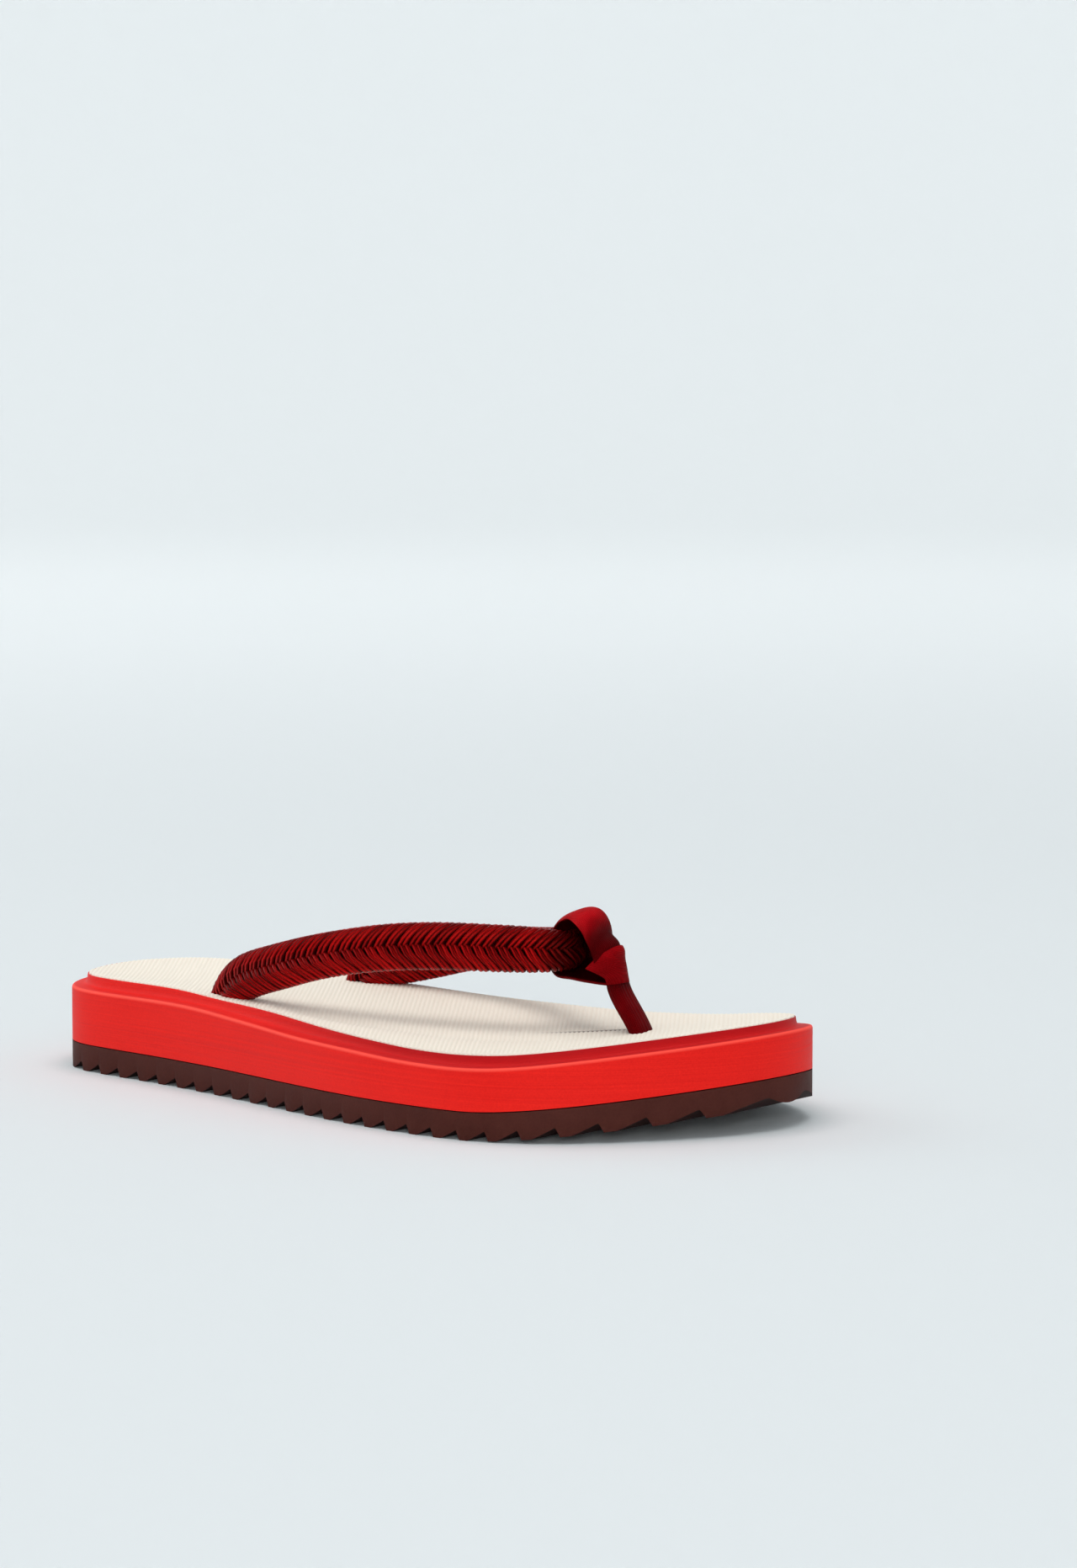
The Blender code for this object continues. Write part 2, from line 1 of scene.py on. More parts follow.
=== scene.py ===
"""Dresses the rope sandal: sawtooth rubber, brushed foam, ribbed footbed, corded braid and ribbon toe loop.

The tables count millimetres: x from the back of the heel, y towards the inner side of the foot and z up
from the floor. They repeat the construction's own tables. SoleForm.to_row moves them into the row frame,
in metres.
"""

from __future__ import annotations

import logging
import math
from collections.abc import Callable
from dataclasses import dataclass, field
from enum import Enum
from functools import partial

import bpy
import numpy as np
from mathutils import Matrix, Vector

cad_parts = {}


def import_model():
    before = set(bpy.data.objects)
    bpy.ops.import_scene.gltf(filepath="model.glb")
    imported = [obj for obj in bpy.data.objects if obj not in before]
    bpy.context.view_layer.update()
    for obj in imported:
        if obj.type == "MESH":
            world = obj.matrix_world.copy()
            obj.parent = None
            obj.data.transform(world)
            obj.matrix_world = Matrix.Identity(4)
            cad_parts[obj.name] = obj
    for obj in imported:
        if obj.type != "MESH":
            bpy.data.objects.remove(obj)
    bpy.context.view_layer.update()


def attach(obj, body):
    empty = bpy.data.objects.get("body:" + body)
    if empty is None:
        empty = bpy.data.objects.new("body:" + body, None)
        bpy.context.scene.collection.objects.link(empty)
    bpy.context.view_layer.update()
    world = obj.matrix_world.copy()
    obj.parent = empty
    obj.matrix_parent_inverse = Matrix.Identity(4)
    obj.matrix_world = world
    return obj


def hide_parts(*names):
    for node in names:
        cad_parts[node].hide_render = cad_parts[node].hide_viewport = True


LOG = logging.getLogger("rope_sandal")
MM = 0.001
FULL_TURN = 2.0 * math.pi
MERGE_DISTANCE = 2e-6  # metres
HEADING_STEP = 0.3  # millimetres along a route, to either side

Array = np.ndarray
Colour = tuple[float, float, float]
Place = tuple[float, float, float]
Rows = tuple[tuple[float, ...], ...]
Piece = bpy.types.Object
Material = bpy.types.Material


class Slot(Enum):
    """The record's nodes, each with a material slot of the same name."""

    OUTSOLE = "outsole"
    MIDSOLE = "midsole"
    FOOTBED = "footbed"
    STRAP = "braided_strap"
    LOOP = "toe_loop"


# --- Tables and curves ---
class Curve:
    """Smooth cubic through values at rising knots."""

    def __init__(self, knots: Array, values: Array) -> None:
        """Work out the slopes.

        Args:
            knots: Rising places, one for each value.
            values: The curve's values there.
        """
        self.knots = np.asarray(knots, dtype=float)
        self.values = np.asarray(values, dtype=float)
        self.slopes = self._natural_slopes()

    def _natural_slopes(self) -> Array:
        """Find the slopes that make the curve's bend continuous, and nil at its ends.

        Returns:
            One slope for each knot.
        """
        count = len(self.knots)
        steps = np.diff(self.knots)
        rises = np.diff(self.values)
        matrix = np.zeros((count, count))
        right = np.zeros(count)
        matrix[0, :2] = 2.0, 1.0
        matrix[-1, -2:] = 1.0, 2.0
        right[0] = 3.0 * rises[0] / steps[0]
        right[-1] = 3.0 * rises[-1] / steps[-1]
        for i in range(1, count - 1):
            before, after = 1.0 / steps[i - 1], 1.0 / steps[i]
            matrix[i, i - 1 : i + 2] = before, 2.0 * before + 2.0 * after, after
            right[i] = 3.0 * (rises[i - 1] / steps[i - 1] ** 2 + rises[i] / steps[i] ** 2)
        return np.linalg.solve(matrix, right)

    def __call__(self, at: Array | float) -> Array:
        """Read the curve.

        Args:
            at: One or more places, held between the first and the last knot.

        Returns:
            The values there.
        """
        at = np.clip(np.asarray(at, dtype=float), self.knots[0], self.knots[-1])
        i = np.clip(np.searchsorted(self.knots, at, side="right") - 1, 0, len(self.knots) - 2)
        step = self.knots[i + 1] - self.knots[i]
        t = (at - self.knots[i]) / step
        return (
            (2 * t**3 - 3 * t**2 + 1) * self.values[i]
            + (t**3 - 2 * t**2 + t) * step * self.slopes[i]
            + (-2 * t**3 + 3 * t**2) * self.values[i + 1]
            + (t**3 - t**2) * step * self.slopes[i + 1]
        )


class Table:
    """Short table with named columns, each read as a smooth curve over the first."""

    def __init__(self, columns: str, rows: Rows) -> None:
        """Name the columns and build their curves.

        Args:
            columns: Column names, separated by spaces. The first one holds the knots.
            rows: The table's rows.
        """
        data = np.array(rows, dtype=float)
        self.first, self.last = float(data[0, 0]), float(data[-1, 0])
        self.curves = {name: Curve(data[:, 0], data[:, i]) for i, name in enumerate(columns.split())}

    def read(self, name: str, at: Array | float) -> Array:
        """Read one column at places along the first."""
        return self.curves[name](at)


class Route:
    """Table of places and sizes, read as smooth curves over the length of the way."""

    def __init__(self, rows: Rows, first: int = 0) -> None:
        """Measure the way and build the curves.

        Args:
            rows: The table's rows.
            first: The first of the three columns whose places measure the way.
        """
        data = np.array(rows, dtype=float)
        steps = np.linalg.norm(np.diff(data[:, first : first + 3], axis=0), axis=1)
        self.knots = np.concatenate([[0.0], np.cumsum(steps)])
        self.length = float(self.knots[-1])
        self.curves = [Curve(self.knots, values) for values in data.T]

    def place(self, at: Array, first: int = 0) -> Array:
        """Places held by three columns, at lengths along the way."""
        return np.stack([curve(at) for curve in self.curves[first : first + 3]], axis=-1)

    def heading(self, at: Array) -> Array:
        """Unit vectors along the way."""
        low = np.clip(at - HEADING_STEP, 0.0, self.length - 2.0 * HEADING_STEP)
        return unit(self.place(low + 2.0 * HEADING_STEP) - self.place(low))


def unit(vectors: Array) -> Array:
    """Scale vectors to length one."""
    return vectors / np.maximum(np.linalg.norm(vectors, axis=-1, keepdims=True), 1e-12)


def smooth_step(value: Array, low: float, high: float) -> Array:
    """Rise smoothly from 0 at low to 1 at high."""
    share = np.clip((value - low) / (high - low), 0.0, 1.0)
    return share * share * (3.0 - 2.0 * share)


def fuller(wave: Array, power: float) -> Array:
    """Fill out a sine or cosine, which squares a round section, with a power below 1."""
    return np.sign(wave) * np.abs(wave) ** power


# --- The sole's form ---
OUTLINE_ROWS = (
    # x      lateral  medial
    (0.0, 0.0, 0.0),
    (5.0, -20.5, 17.0),
    (14.0, -30.2, 26.5),
    (28.0, -34.2, 31.5),
    (55.0, -37.6, 33.0),
    (85.0, -43.0, 31.0),
    (118.0, -50.9, 34.0),
    (150.0, -57.3, 42.0),
    (175.0, -59.3, 49.5),
    (199.0, -56.5, 54.0),
    (218.0, -45.0, 53.0),
    (234.0, -27.0, 45.6),
    (246.0, -8.0, 34.6),
    (252.0, 15.0, 15.0),
)

SEAT = Table(
    "x height",
    (
        (0.0, 27.6), (40.0, 27.7), (62.0, 27.6), (76.0, 26.9), (90.0, 26.5), (106.0, 26.0),
        (122.0, 25.0), (137.0, 24.1), (153.0, 23.3), (166.0, 22.7), (180.0, 22.5), (191.0, 22.8),
        (201.0, 23.4), (215.0, 25.0), (229.0, 27.0), (241.0, 28.8), (252.0, 30.3),
    ),
)

WALL_TOP = Table(
    "x height",
    (
        (0.0, 25.2), (40.0, 25.2), (72.0, 25.1), (87.0, 24.3), (104.0, 23.4), (120.0, 22.5),
        (136.0, 22.0), (151.0, 21.5), (165.0, 20.9), (180.0, 20.6), (190.0, 20.7), (201.0, 21.3),
        (215.0, 22.9), (229.0, 24.9), (241.0, 26.7), (252.0, 28.5),
    ),
)

DISH = Table(
    "x depth",
    (
        (0.0, 0.0), (22.0, 1.2), (60.0, 1.6), (100.0, 1.0), (150.0, 0.8), (200.0, 0.7),
        (232.0, 0.3), (252.0, 0.0),
    ),
)

CHANNEL = Table(
    "x y depth",
    (
        (95.0, -31.5, 0.0),
        (110.5, -33.0, 0.9),
        (138.0, -30.4, 1.0),
        (156.0, -28.2, 0.7),
        (171.5, -22.3, 0.8),
        (185.0, -12.0, 0.9),
        (193.0, -3.7, 1.0),
        (201.0, 5.0, 0.8),
        (209.0, 12.0, 0.0),
    ),
)



@dataclass(frozen=True)
class SoleForm:
    """The last's outline and levels, shared by outsole, midsole and footbed."""

    length: float = 252.0
    rubber_top: float = 8.2
    glue_line: float = 0.15
    spring_start: float = 190.0
    spring_lift: float = 7.5
    spring_power: float = 1.5
    ledge_width: float = 5.0
    dish_power: float = 0.8
    channel_width: float = 4.5
    turn_step: float = 1e-4
    outline_samples: int = 1441
    loop: Curve = field(init=False)
    middle: Array = field(init=False)

    def __post_init__(self) -> None:
        """Work out the closed outline and its middle."""
        rows = np.array(OUTLINE_ROWS)
        turns = np.arccos(1.0 - 2.0 * rows[:, 0] / self.length)
        knots = np.concatenate([turns, FULL_TURN - turns[-2:0:-1], [FULL_TURN]])
        values = np.concatenate([rows[:, 1], rows[-2:0:-1, 2], rows[:1, 1]])
        knots = np.concatenate([knots[-5:-1] - FULL_TURN, knots, knots[1:5] + FULL_TURN])
        values = np.concatenate([values[-5:-1], values, values[1:5]])
        object.__setattr__(self, "loop", Curve(knots, values))
        edge = self.loop(np.linspace(0.0, FULL_TURN, self.outline_samples))
        middle = np.array([self.length / 2, (edge.min() + edge.max()) / 2, 0.0])
        object.__setattr__(self, "middle", middle)

    def to_row(self, points: Array) -> Array:
        """Move table places, in millimetres, to the row frame, in metres."""
        return (points - self.middle) * MM

    def _outline_at(self, turn: Array) -> Array:
        """Plan places on the outline itself."""
        return np.stack([self.length * (1.0 - np.cos(turn)) / 2.0, self.loop(turn)], axis=-1)

    def edge(self, turn: Array, inset: float = 0.0) -> Array:
        """Find plan places along the outline.

        Args:
            turn: Angles around the sole: 0 at the heel, pi at the toe, outer side first.
            inset: How far inside the outline the places lie.

        Returns:
            Their x and y, one row for each angle.
        """
        along = unit(self._outline_at(turn + self.turn_step) - self._outline_at(turn - self.turn_step))
        inward = np.stack([-along[..., 1], along[..., 0]], axis=-1)
        return self._outline_at(turn) + inward * inset

    def spring(self, x: Array) -> Array:
        """Lift of the underside towards the toe."""
        share = np.clip((x - self.spring_start) / (self.length - self.spring_start), 0.0, 1.0)
        return self.spring_lift * share**self.spring_power

    def seat(self, x: Array, y: Array) -> Array:
        """Find the level of the moulded seat, with its dish and the toes' channel.

        Args:
            x: Stations.
            y: Places across the sole.

        Returns:
            The level before the footbed's thickness.
        """
        turn = np.arccos(np.clip(1.0 - 2.0 * x / self.length, -1.0, 1.0))
        outer = self.loop(turn) + self.ledge_width
        inner = self.loop(FULL_TURN - turn) - self.ledge_width
        share = np.clip((y - outer) / np.maximum(inner - outer, 1.0), 0.0, 1.0)
        dish = DISH.read("depth", x) * np.sin(np.pi * share) ** self.dish_power
        depth = np.clip(CHANNEL.read("depth", x), 0.0, None)
        offset = (y - CHANNEL.read("y", x)) / self.channel_width
        inside = (x > CHANNEL.first) & (x < CHANNEL.last)
        relief = dish + np.where(inside, depth * np.exp(-(offset**2)), 0.0)
        return SEAT.read("height", x) - relief


SOLE = SoleForm()


# --- Modelling helpers ---
def clear_selection() -> None:
    """Leave edit mode and deselect everything."""
    if bpy.context.object and bpy.context.object.mode != "OBJECT":
        bpy.ops.object.mode_set(mode="OBJECT")
    bpy.ops.object.select_all(action="DESELECT")


def activate(*pieces: Piece) -> None:
    """Select these pieces only, and make the first one active.

    Args:
        pieces: The pieces.
    """
    clear_selection()
    for piece in pieces:
        piece.select_set(True)
    bpy.context.view_layer.objects.active = pieces[0]


def open_all(piece: Piece) -> None:
    """Open a piece in edit mode with everything selected.

    Args:
        piece: The piece.
    """
    activate(piece)
    bpy.ops.object.mode_set(mode="EDIT")
    bpy.ops.mesh.select_all(action="SELECT")


def close() -> None:
    """Go back to object mode."""
    bpy.ops.object.mode_set(mode="OBJECT")


def extrude(step: Place) -> None:
    """Extrude the selected faces by a step."""
    bpy.ops.mesh.extrude_region_move(TRANSFORM_OT_translate={"value": step})


def coordinates(piece: Piece) -> Array:
    """Read a piece's vertex places.

    Args:
        piece: The piece.

    Returns:
        The places, one row each.
    """
    flat = np.empty(len(piece.data.vertices) * 3)
    piece.data.vertices.foreach_get("co", flat)
    return flat.reshape(-1, 3)


def move_vertices(piece: Piece, places: Array) -> None:
    """Put a piece's vertices at new places."""
    piece.data.vertices.foreach_set("co", np.ascontiguousarray(places, dtype=np.float32).ravel())
    piece.data.update()


def apply_modifier(piece: Piece, kind: str, **settings: object) -> None:
    """Add a modifier with its settings and apply it.

    Args:
        piece: The piece to change.
        kind: The modifier's type.
        settings: Values of its properties.
    """
    activate(piece)
    modifier = piece.modifiers.new(kind.title(), kind)
    for name, value in settings.items():
        setattr(modifier, name, value)
    bpy.ops.object.modifier_apply(modifier=modifier.name)


def add_grid(name: str, columns: int, rows: int) -> tuple[Piece, Array, Array]:
    """Add a plane grid to be laid on a surface.

    Args:
        name: The piece's name.
        columns: Faces along the first direction.
        rows: Faces along the second direction.

    Returns:
        The piece, and the two shares from 0 to 1 of each vertex.
    """
    clear_selection()
    bpy.ops.mesh.primitive_grid_add(x_subdivisions=columns, y_subdivisions=rows, size=2.0, calc_uvs=True)
    piece = bpy.context.object
    piece.name = piece.data.name = name
    flat = coordinates(piece)
    return piece, (flat[:, 0] + 1.0) / 2.0, (flat[:, 1] + 1.0) / 2.0


def add_tube(name: str, sides: int, rings: int) -> tuple[Piece, Array, Array]:
    """Add a straight closed tube to be laid along a route.

    Args:
        name: The piece's name.
        sides: Faces round it.
        rings: Faces along it.

    Returns:
        The piece, and each vertex's share along it and angle round it.
    """
    clear_selection()
    bpy.ops.mesh.primitive_circle_add(vertices=sides, radius=1.0, fill_type="NGON")
    piece = bpy.context.object
    piece.name = piece.data.name = name
    open_all(piece)
    for _ in range(rings):
        extrude((0.0, 0.0, 1.0))
    close()
    places = coordinates(piece)
    return piece, np.rint(places[:, 2]) / rings, np.arctan2(places[:, 1], places[:, 0])


def shaped_copy(pattern: Piece, places: Array) -> Piece:
    """Copy a pattern with its own mesh, and shape the copy.

    Args:
        pattern: The piece to copy.
        places: The copy's vertex places.

    Returns:
        The copy.
    """
    copy = pattern.copy()
    copy.data = pattern.data.copy()
    bpy.context.collection.objects.link(copy)
    move_vertices(copy, places)
    return copy


def join(name: str, pieces: list[Piece]) -> Piece:
    """Join pieces into one.

    Args:
        name: The joined piece's name.
        pieces: The pieces.

    Returns:
        The joined piece.
    """
    activate(*pieces)
    bpy.ops.object.join()
    pieces[0].name = pieces[0].data.name = name
    return pieces[0]


def write_uv(piece: Piece, u: Array, v: Array) -> None:
    """Store a UV place for each vertex.

    Args:
        piece: The piece.
        u: First coordinate of each vertex.
        v: Second coordinate of each vertex.
    """
    mesh = piece.data
    layer = mesh.uv_layers.get("UVMap") or mesh.uv_layers.new(name="UVMap")
    index = np.empty(len(mesh.loops), dtype=np.int64)
    mesh.loops.foreach_get("vertex_index", index)
    layer.data.foreach_set("uv", np.stack([u[index], v[index]], axis=-1).astype(np.float32).ravel())


def read_attribute(piece: Piece, name: str) -> Array:
    """Read the number stored for each vertex.

    Args:
        piece: The piece.
        name: The attribute's name.

    Returns:
        The numbers.
    """
    values = np.empty(len(piece.data.vertices))
    piece.data.attributes[name].data.foreach_get("value", values)
    return values


def write_attribute(piece: Piece, name: str, values: Array, domain: str = "POINT") -> None:
    """Store one number for each vertex, or for each face with the domain FACE."""
    layer = piece.data.attributes.get(name) or piece.data.attributes.new(name, "FLOAT", domain)
    layer.data.foreach_set("value", np.asarray(values, dtype=np.float32))


def tidy_surface(piece: Piece, outward: bool = True) -> None:
    """Merge doubled vertices and turn the faces outwards.

    Args:
        piece: The piece.
        outward: Whether the normals are worked out again.
    """
    open_all(piece)
    bpy.ops.mesh.remove_doubles(threshold=MERGE_DISTANCE)
    if outward:
        bpy.ops.mesh.normals_make_consistent(inside=False)
    close()


def shade(piece: Piece, degrees: float) -> None:
    """Shade a piece smooth, with edges sharper than an angle left crisp."""
    activate(piece)
    bpy.ops.object.shade_smooth_by_angle(angle=math.radians(degrees), keep_sharp_edges=False)


def dress(piece: Piece, material: Material) -> None:
    """Give a piece its material, and let it ride with the frame.

    Args:
        piece: The piece.
        material: Its only material.
    """
    piece.data.materials.clear()
    piece.data.materials.append(material)
    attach(piece, "root")
    LOG.info("%s: %d faces", piece.name, len(piece.data.polygons))


# --- Shader helpers ---
class Signal:
    """A number that varies over a surface, for use in arithmetic."""

    def __init__(self, graph: Graph, socket: bpy.types.NodeSocket) -> None:
        """Wrap a node's output."""
        self.graph = graph
        self.socket = socket

    def _math(self, operation: str, *values: Signal | float) -> Signal:
        """Add a Math node on these values."""
        return self.graph.node("ShaderNodeMath", dict(enumerate(values)), operation=operation)

    def __add__(self, other: Signal | float) -> Signal:
        """Sum."""
        return self._math("ADD", self, other)

    def __sub__(self, other: Signal | float) -> Signal:
        """Difference."""
        return self._math("SUBTRACT", self, other)

    def __rsub__(self, other: float) -> Signal:
        """Difference from a number."""
        return self._math("SUBTRACT", other, self)

    def __mul__(self, other: Signal | float) -> Signal:
        """Product."""
        return self._math("MULTIPLY", self, other)

    def __truediv__(self, other: Signal | float) -> Signal:
        """Quotient."""
        return self._math("DIVIDE", self, other)

    def __pow__(self, other: float) -> Signal:
        """Power."""
        return self._math("POWER", self, other)

    __radd__ = __add__
    __rmul__ = __mul__

    def wave(self) -> Signal:
        """Sine of the value counted in whole turns, raised to run from 0 to 1."""
        return self._math("SINE", self * FULL_TURN) * 0.5 + 0.5

    def size(self) -> Signal:
        """The value without its sign."""
        return self._math("ABSOLUTE", self)

    def held(self) -> Signal:
        """The value held between 0 and 1."""
        return self._math("MINIMUM", self._math("MAXIMUM", self, 0.0), 1.0)


class Graph:
    """A material's node graph with one Principled shader."""

    def __init__(self, name: str) -> None:
        """Start a material with a plain Principled shader.

        Args:
            name: The material's name.
        """
        self.material = bpy.data.materials.new(name)
        self.material.use_nodes = True
        self.tree = self.material.node_tree
        self.shader = self.tree.nodes["Principled BSDF"]

    def _give(self, socket: bpy.types.NodeSocket, value: object) -> None:
        """Link a signal to a socket, or set its own value, with full alpha for a colour.

        Args:
            socket: The socket.
            value: A signal, a number, a vector or a colour.
        """
        if isinstance(value, Signal):
            self.tree.links.new(value.socket, socket)
        else:
            socket.default_value = (*value, 1.0) if socket.type == "RGBA" else value

    def node(
        self, kind: str, inputs: dict[int | str, object], output: int | str = 0, **settings: object
    ) -> Signal:
        """Add a node.

        Args:
            kind: The node's type.
            inputs: Values or signals for its sockets, by place or name.
            output: Which of its outputs is wanted.
            settings: Properties of the node, set first.

        Returns:
            That output.
        """
        made = self.tree.nodes.new(kind)
        for name, value in settings.items():
            setattr(made, name, value)
        for key, value in inputs.items():
            self._give(made.inputs[key], value)
        return Signal(self, made.outputs[output])

    def finish(self, **values: object) -> Material:
        """Feed or set the shader's own sockets.

        Args:
            values: A signal or a constant for each socket, with spaces written as underscores.

        Returns:
            The material.
        """
        for name, value in values.items():
            self._give(self.shader.inputs[name.replace("_", " ")], value)
        return self.material

    def place(self) -> Signal:
        """Object coordinates."""
        return self.node("ShaderNodeTexCoord", {}, "Object")

    def surface(self) -> Signal:
        """The piece's own UV coordinates."""
        return self.node("ShaderNodeUVMap", {}, "UV", uv_map="UVMap")

    def attribute(self, name: str) -> Signal:
        """A number stored on the piece."""
        return self.node("ShaderNodeAttribute", {}, "Fac", attribute_name=name)

    def part(self, vector: Signal, axis: str) -> Signal:
        """One component of a vector."""
        return self.node("ShaderNodeSeparateXYZ", {0: vector}, axis)

    def noise(
        self, vector: Signal, scale: float | Place, detail: float = 3.0, roughness: float = 0.55
    ) -> Signal:
        """Add fractal noise about 0.5.

        Args:
            vector: Coordinates.
            scale: Marks per unit, or marks per unit of each axis.
            detail: Layers of finer noise.
            roughness: Strength of the finer layers.

        Returns:
            The noise.
        """
        if isinstance(scale, tuple):
            vector = self.node("ShaderNodeVectorMath", {0: vector, 1: scale}, operation="MULTIPLY")
            scale = 1.0
        inputs = {"Vector": vector, "Scale": scale, "Detail": detail, "Roughness": roughness}
        return self.node("ShaderNodeTexNoise", inputs)

    def ramp(self, value: Signal, low: float, high: float, start: float = 0.0, end: float = 1.0) -> Signal:
        """Map a range of a value smoothly onto another range, held at its ends."""
        inputs = {"Value": value, 1: low, 2: high, 3: start, 4: end}
        return self.node("ShaderNodeMapRange", inputs, clamp=True, interpolation_type="SMOOTHSTEP")

    def blend(self, share: Signal, first: Signal | Colour, second: Signal | Colour) -> Signal:
        """Mix two colours."""
        return self.node("ShaderNodeMix", {"Factor": share, 6: first, 7: second}, 2, data_type="RGBA")

    def bump(self, height: Signal, distance: float, strength: float) -> Signal:
        """Normal that shows a height in metres times distance."""
        return self.node("ShaderNodeBump", {"Height": height, "Distance": distance, "Strength": strength})


# --- Finishes ---
@dataclass(frozen=True)
class FoamFinish:
    """Red sole foam, cut level so that its walls carry fine lengthwise marks."""

    colour: Colour = (0.86, 0.018, 0.012)
    shaded: Colour = (0.70, 0.009, 0.008)
    # Painted shade: the darker colour for the ledge and the lip beside the footbed.
    ledge: Colour = (0.40, 0.005, 0.010)
    # Painted highlight: the lighter colour along the rolled top edge.
    edge: Colour = (1.0, 0.085, 0.06)
    sheen: Colour = (1.0, 0.30, 0.26)
    gloss: float = 0.22
    contrast: float = 3.2
    brightness: float = 0.62
    rough: float = 0.58
    mark_size: float = 0.00045
    mark_scale: float = 9.0
    speckle_scale: float = 1900.0
    cloud_scale: Place = (16.0, 16.0, 60.0)
    relief: float = 0.00012

    def material(self) -> Material:
        """Build the foam's material.

        Returns:
            The material.
        """
        graph = Graph("sole_foam")
        place = graph.place()
        marks = graph.noise(place, (self.mark_scale, self.mark_scale, 1.0 / self.mark_size), 4.0, 0.6)
        speckle = graph.noise(place, self.speckle_scale, 2.0, 0.5)
        cloud = graph.noise(place, self.cloud_scale, 2.0)
        tone = (marks * 0.5 + speckle * 0.3 + cloud * 0.2 - 0.5) * self.contrast + self.brightness
        skin = graph.blend(tone.held(), self.shaded, self.colour)
        # Painted shade: the ledge and lip darkened, less towards the heel.
        step = graph.attribute("ledge") * graph.ramp(graph.part(place, "X"), -0.05, 0.05, 0.12, 1.0)
        skin = graph.blend(step, skin, self.ledge)
        return graph.finish(
            # Painted highlight: the rolled top edge lightened.
            Base_Color=graph.blend(graph.attribute("wear_and_highlight") * 0.9, skin, self.edge),
            Roughness=self.rough + (marks - 0.5) * 0.3,
            Normal=graph.bump(marks * 0.7 + speckle * 0.3, self.relief, 0.8),
            Specular_IOR_Level=self.gloss,
            Specular_Tint=self.sheen,
        )


@dataclass(frozen=True)
class RubberFinish:
    """Dark brown outsole rubber with a dry, faintly mottled face."""

    colour: Colour = (0.052, 0.0115, 0.0082)
    wear_and_highlight: Colour = (0.077, 0.020, 0.0145)
    # Painted shade: near-black colour for the sloping faces between the lugs.
    gap: Colour = (0.006, 0.0025, 0.002)
    sheen: Colour = (1.0, 0.62, 0.58)
    gloss: float = 0.15
    contrast: float = 2.4
    brightness: float = 0.4
    rough: float = 0.62
    grain_scale: float = 1500.0
    mottle_scale: float = 95.0
    relief: float = 0.00008

    def material(self) -> Material:
        """Build the rubber's material.

        Returns:
            The material.
        """
        graph = Graph("brown_rubber")
        place = graph.place()
        grain = graph.noise(place, self.grain_scale, 3.0, 0.6)
        mottle = graph.noise(place, self.mottle_scale, 4.0, 0.6)
        share = (grain * 0.4 + mottle * 0.6 - 0.5) * self.contrast + self.brightness
        skin = graph.blend(share.held(), self.colour, self.wear_and_highlight)
        return graph.finish(
            # Painted shade on the faces between the lugs.
            Base_Color=graph.blend(graph.attribute("gap") * 0.85, skin, self.gap),
            Roughness=self.rough + (mottle - 0.5) * 0.25,
            Normal=graph.bump(grain, self.relief, 0.7),
            Specular_IOR_Level=self.gloss,
            Specular_Tint=self.sheen,
        )


@dataclass(frozen=True)
class SheetFinish:
    """Cream ribbed top sheet, with a painted shadow in the toes' channel where it meets the post."""

    colour: Colour = (0.96, 0.875, 0.755)
    # Painted shade: the darker colour in the grooves between the ribs.
    groove: Colour = (0.90, 0.80, 0.675)
    # Painted shadow: dark colour in the toes' channel beside the post.
    crease_shadow: Colour = (0.20, 0.135, 0.09)
    crease_start: tuple[float, float] = (0.0473, -0.0044)
    crease_end: tuple[float, float] = (0.0687, 0.0167)
    crease_reach: float = 0.0021
    crease_core: float = 0.0004
    gloss: float = 0.3
    rough: float = 0.66
    grain_scale: float = 2200.0
    cloud_scale: float = 40.0
    relief: float = 0.00006

    def _crease_shadow_share(self, graph: Graph, place: Signal) -> Signal:
        """Share of the painted shadow in the toes' channel.

        Args:
            graph: The material's graph.
            place: Object coordinates.

        Returns:
            The share, 1 in the middle of the painted shadow beside the post.
        """
        reach = np.array(self.crease_end) - np.array(self.crease_start)
        length = float(np.linalg.norm(reach))
        ahead, aside = (float(value) for value in reach / length)
        x = graph.part(place, "X") - self.crease_start[0]
        y = graph.part(place, "Y") - self.crease_start[1]
        along = x * ahead + y * aside
        off = x * aside - y * ahead
        ends = graph.ramp(along, 0.0, 0.6 * length) * graph.ramp(along, length + 0.003, length)
        return graph.ramp(off.size(), self.crease_reach, self.crease_core) * ends

    def material(self) -> Material:
        """Build the sheet's material, with painted shade in the grooves between the ribs.

        Returns:
            The material.
        """
        graph = Graph("cream_ribbed_sheet")
        place = graph.place()
        grain = graph.noise(place, self.grain_scale, 2.0, 0.5)
        cloud = graph.noise(place, self.cloud_scale)
        # Painted shade: the grooves between the ribs take the groove colour.
        depth = graph.attribute("rib")
        share = depth * 0.8 + (cloud - 0.5) * 0.3 + (grain - 0.5) * 0.25 + 0.15
        cloth = graph.blend(share.held(), self.groove, self.colour)
        # Painted shadow in the toes' channel, broken by the rib crests.
        dark = self._crease_shadow_share(graph, place) * (1.0 - depth * 0.7)
        return graph.finish(
            Base_Color=graph.blend(dark, cloth, self.crease_shadow),
            Roughness=self.rough + (cloud - 0.5) * 0.12,
            Normal=graph.bump(grain, self.relief, 0.5),
            Specular_IOR_Level=self.gloss,
        )


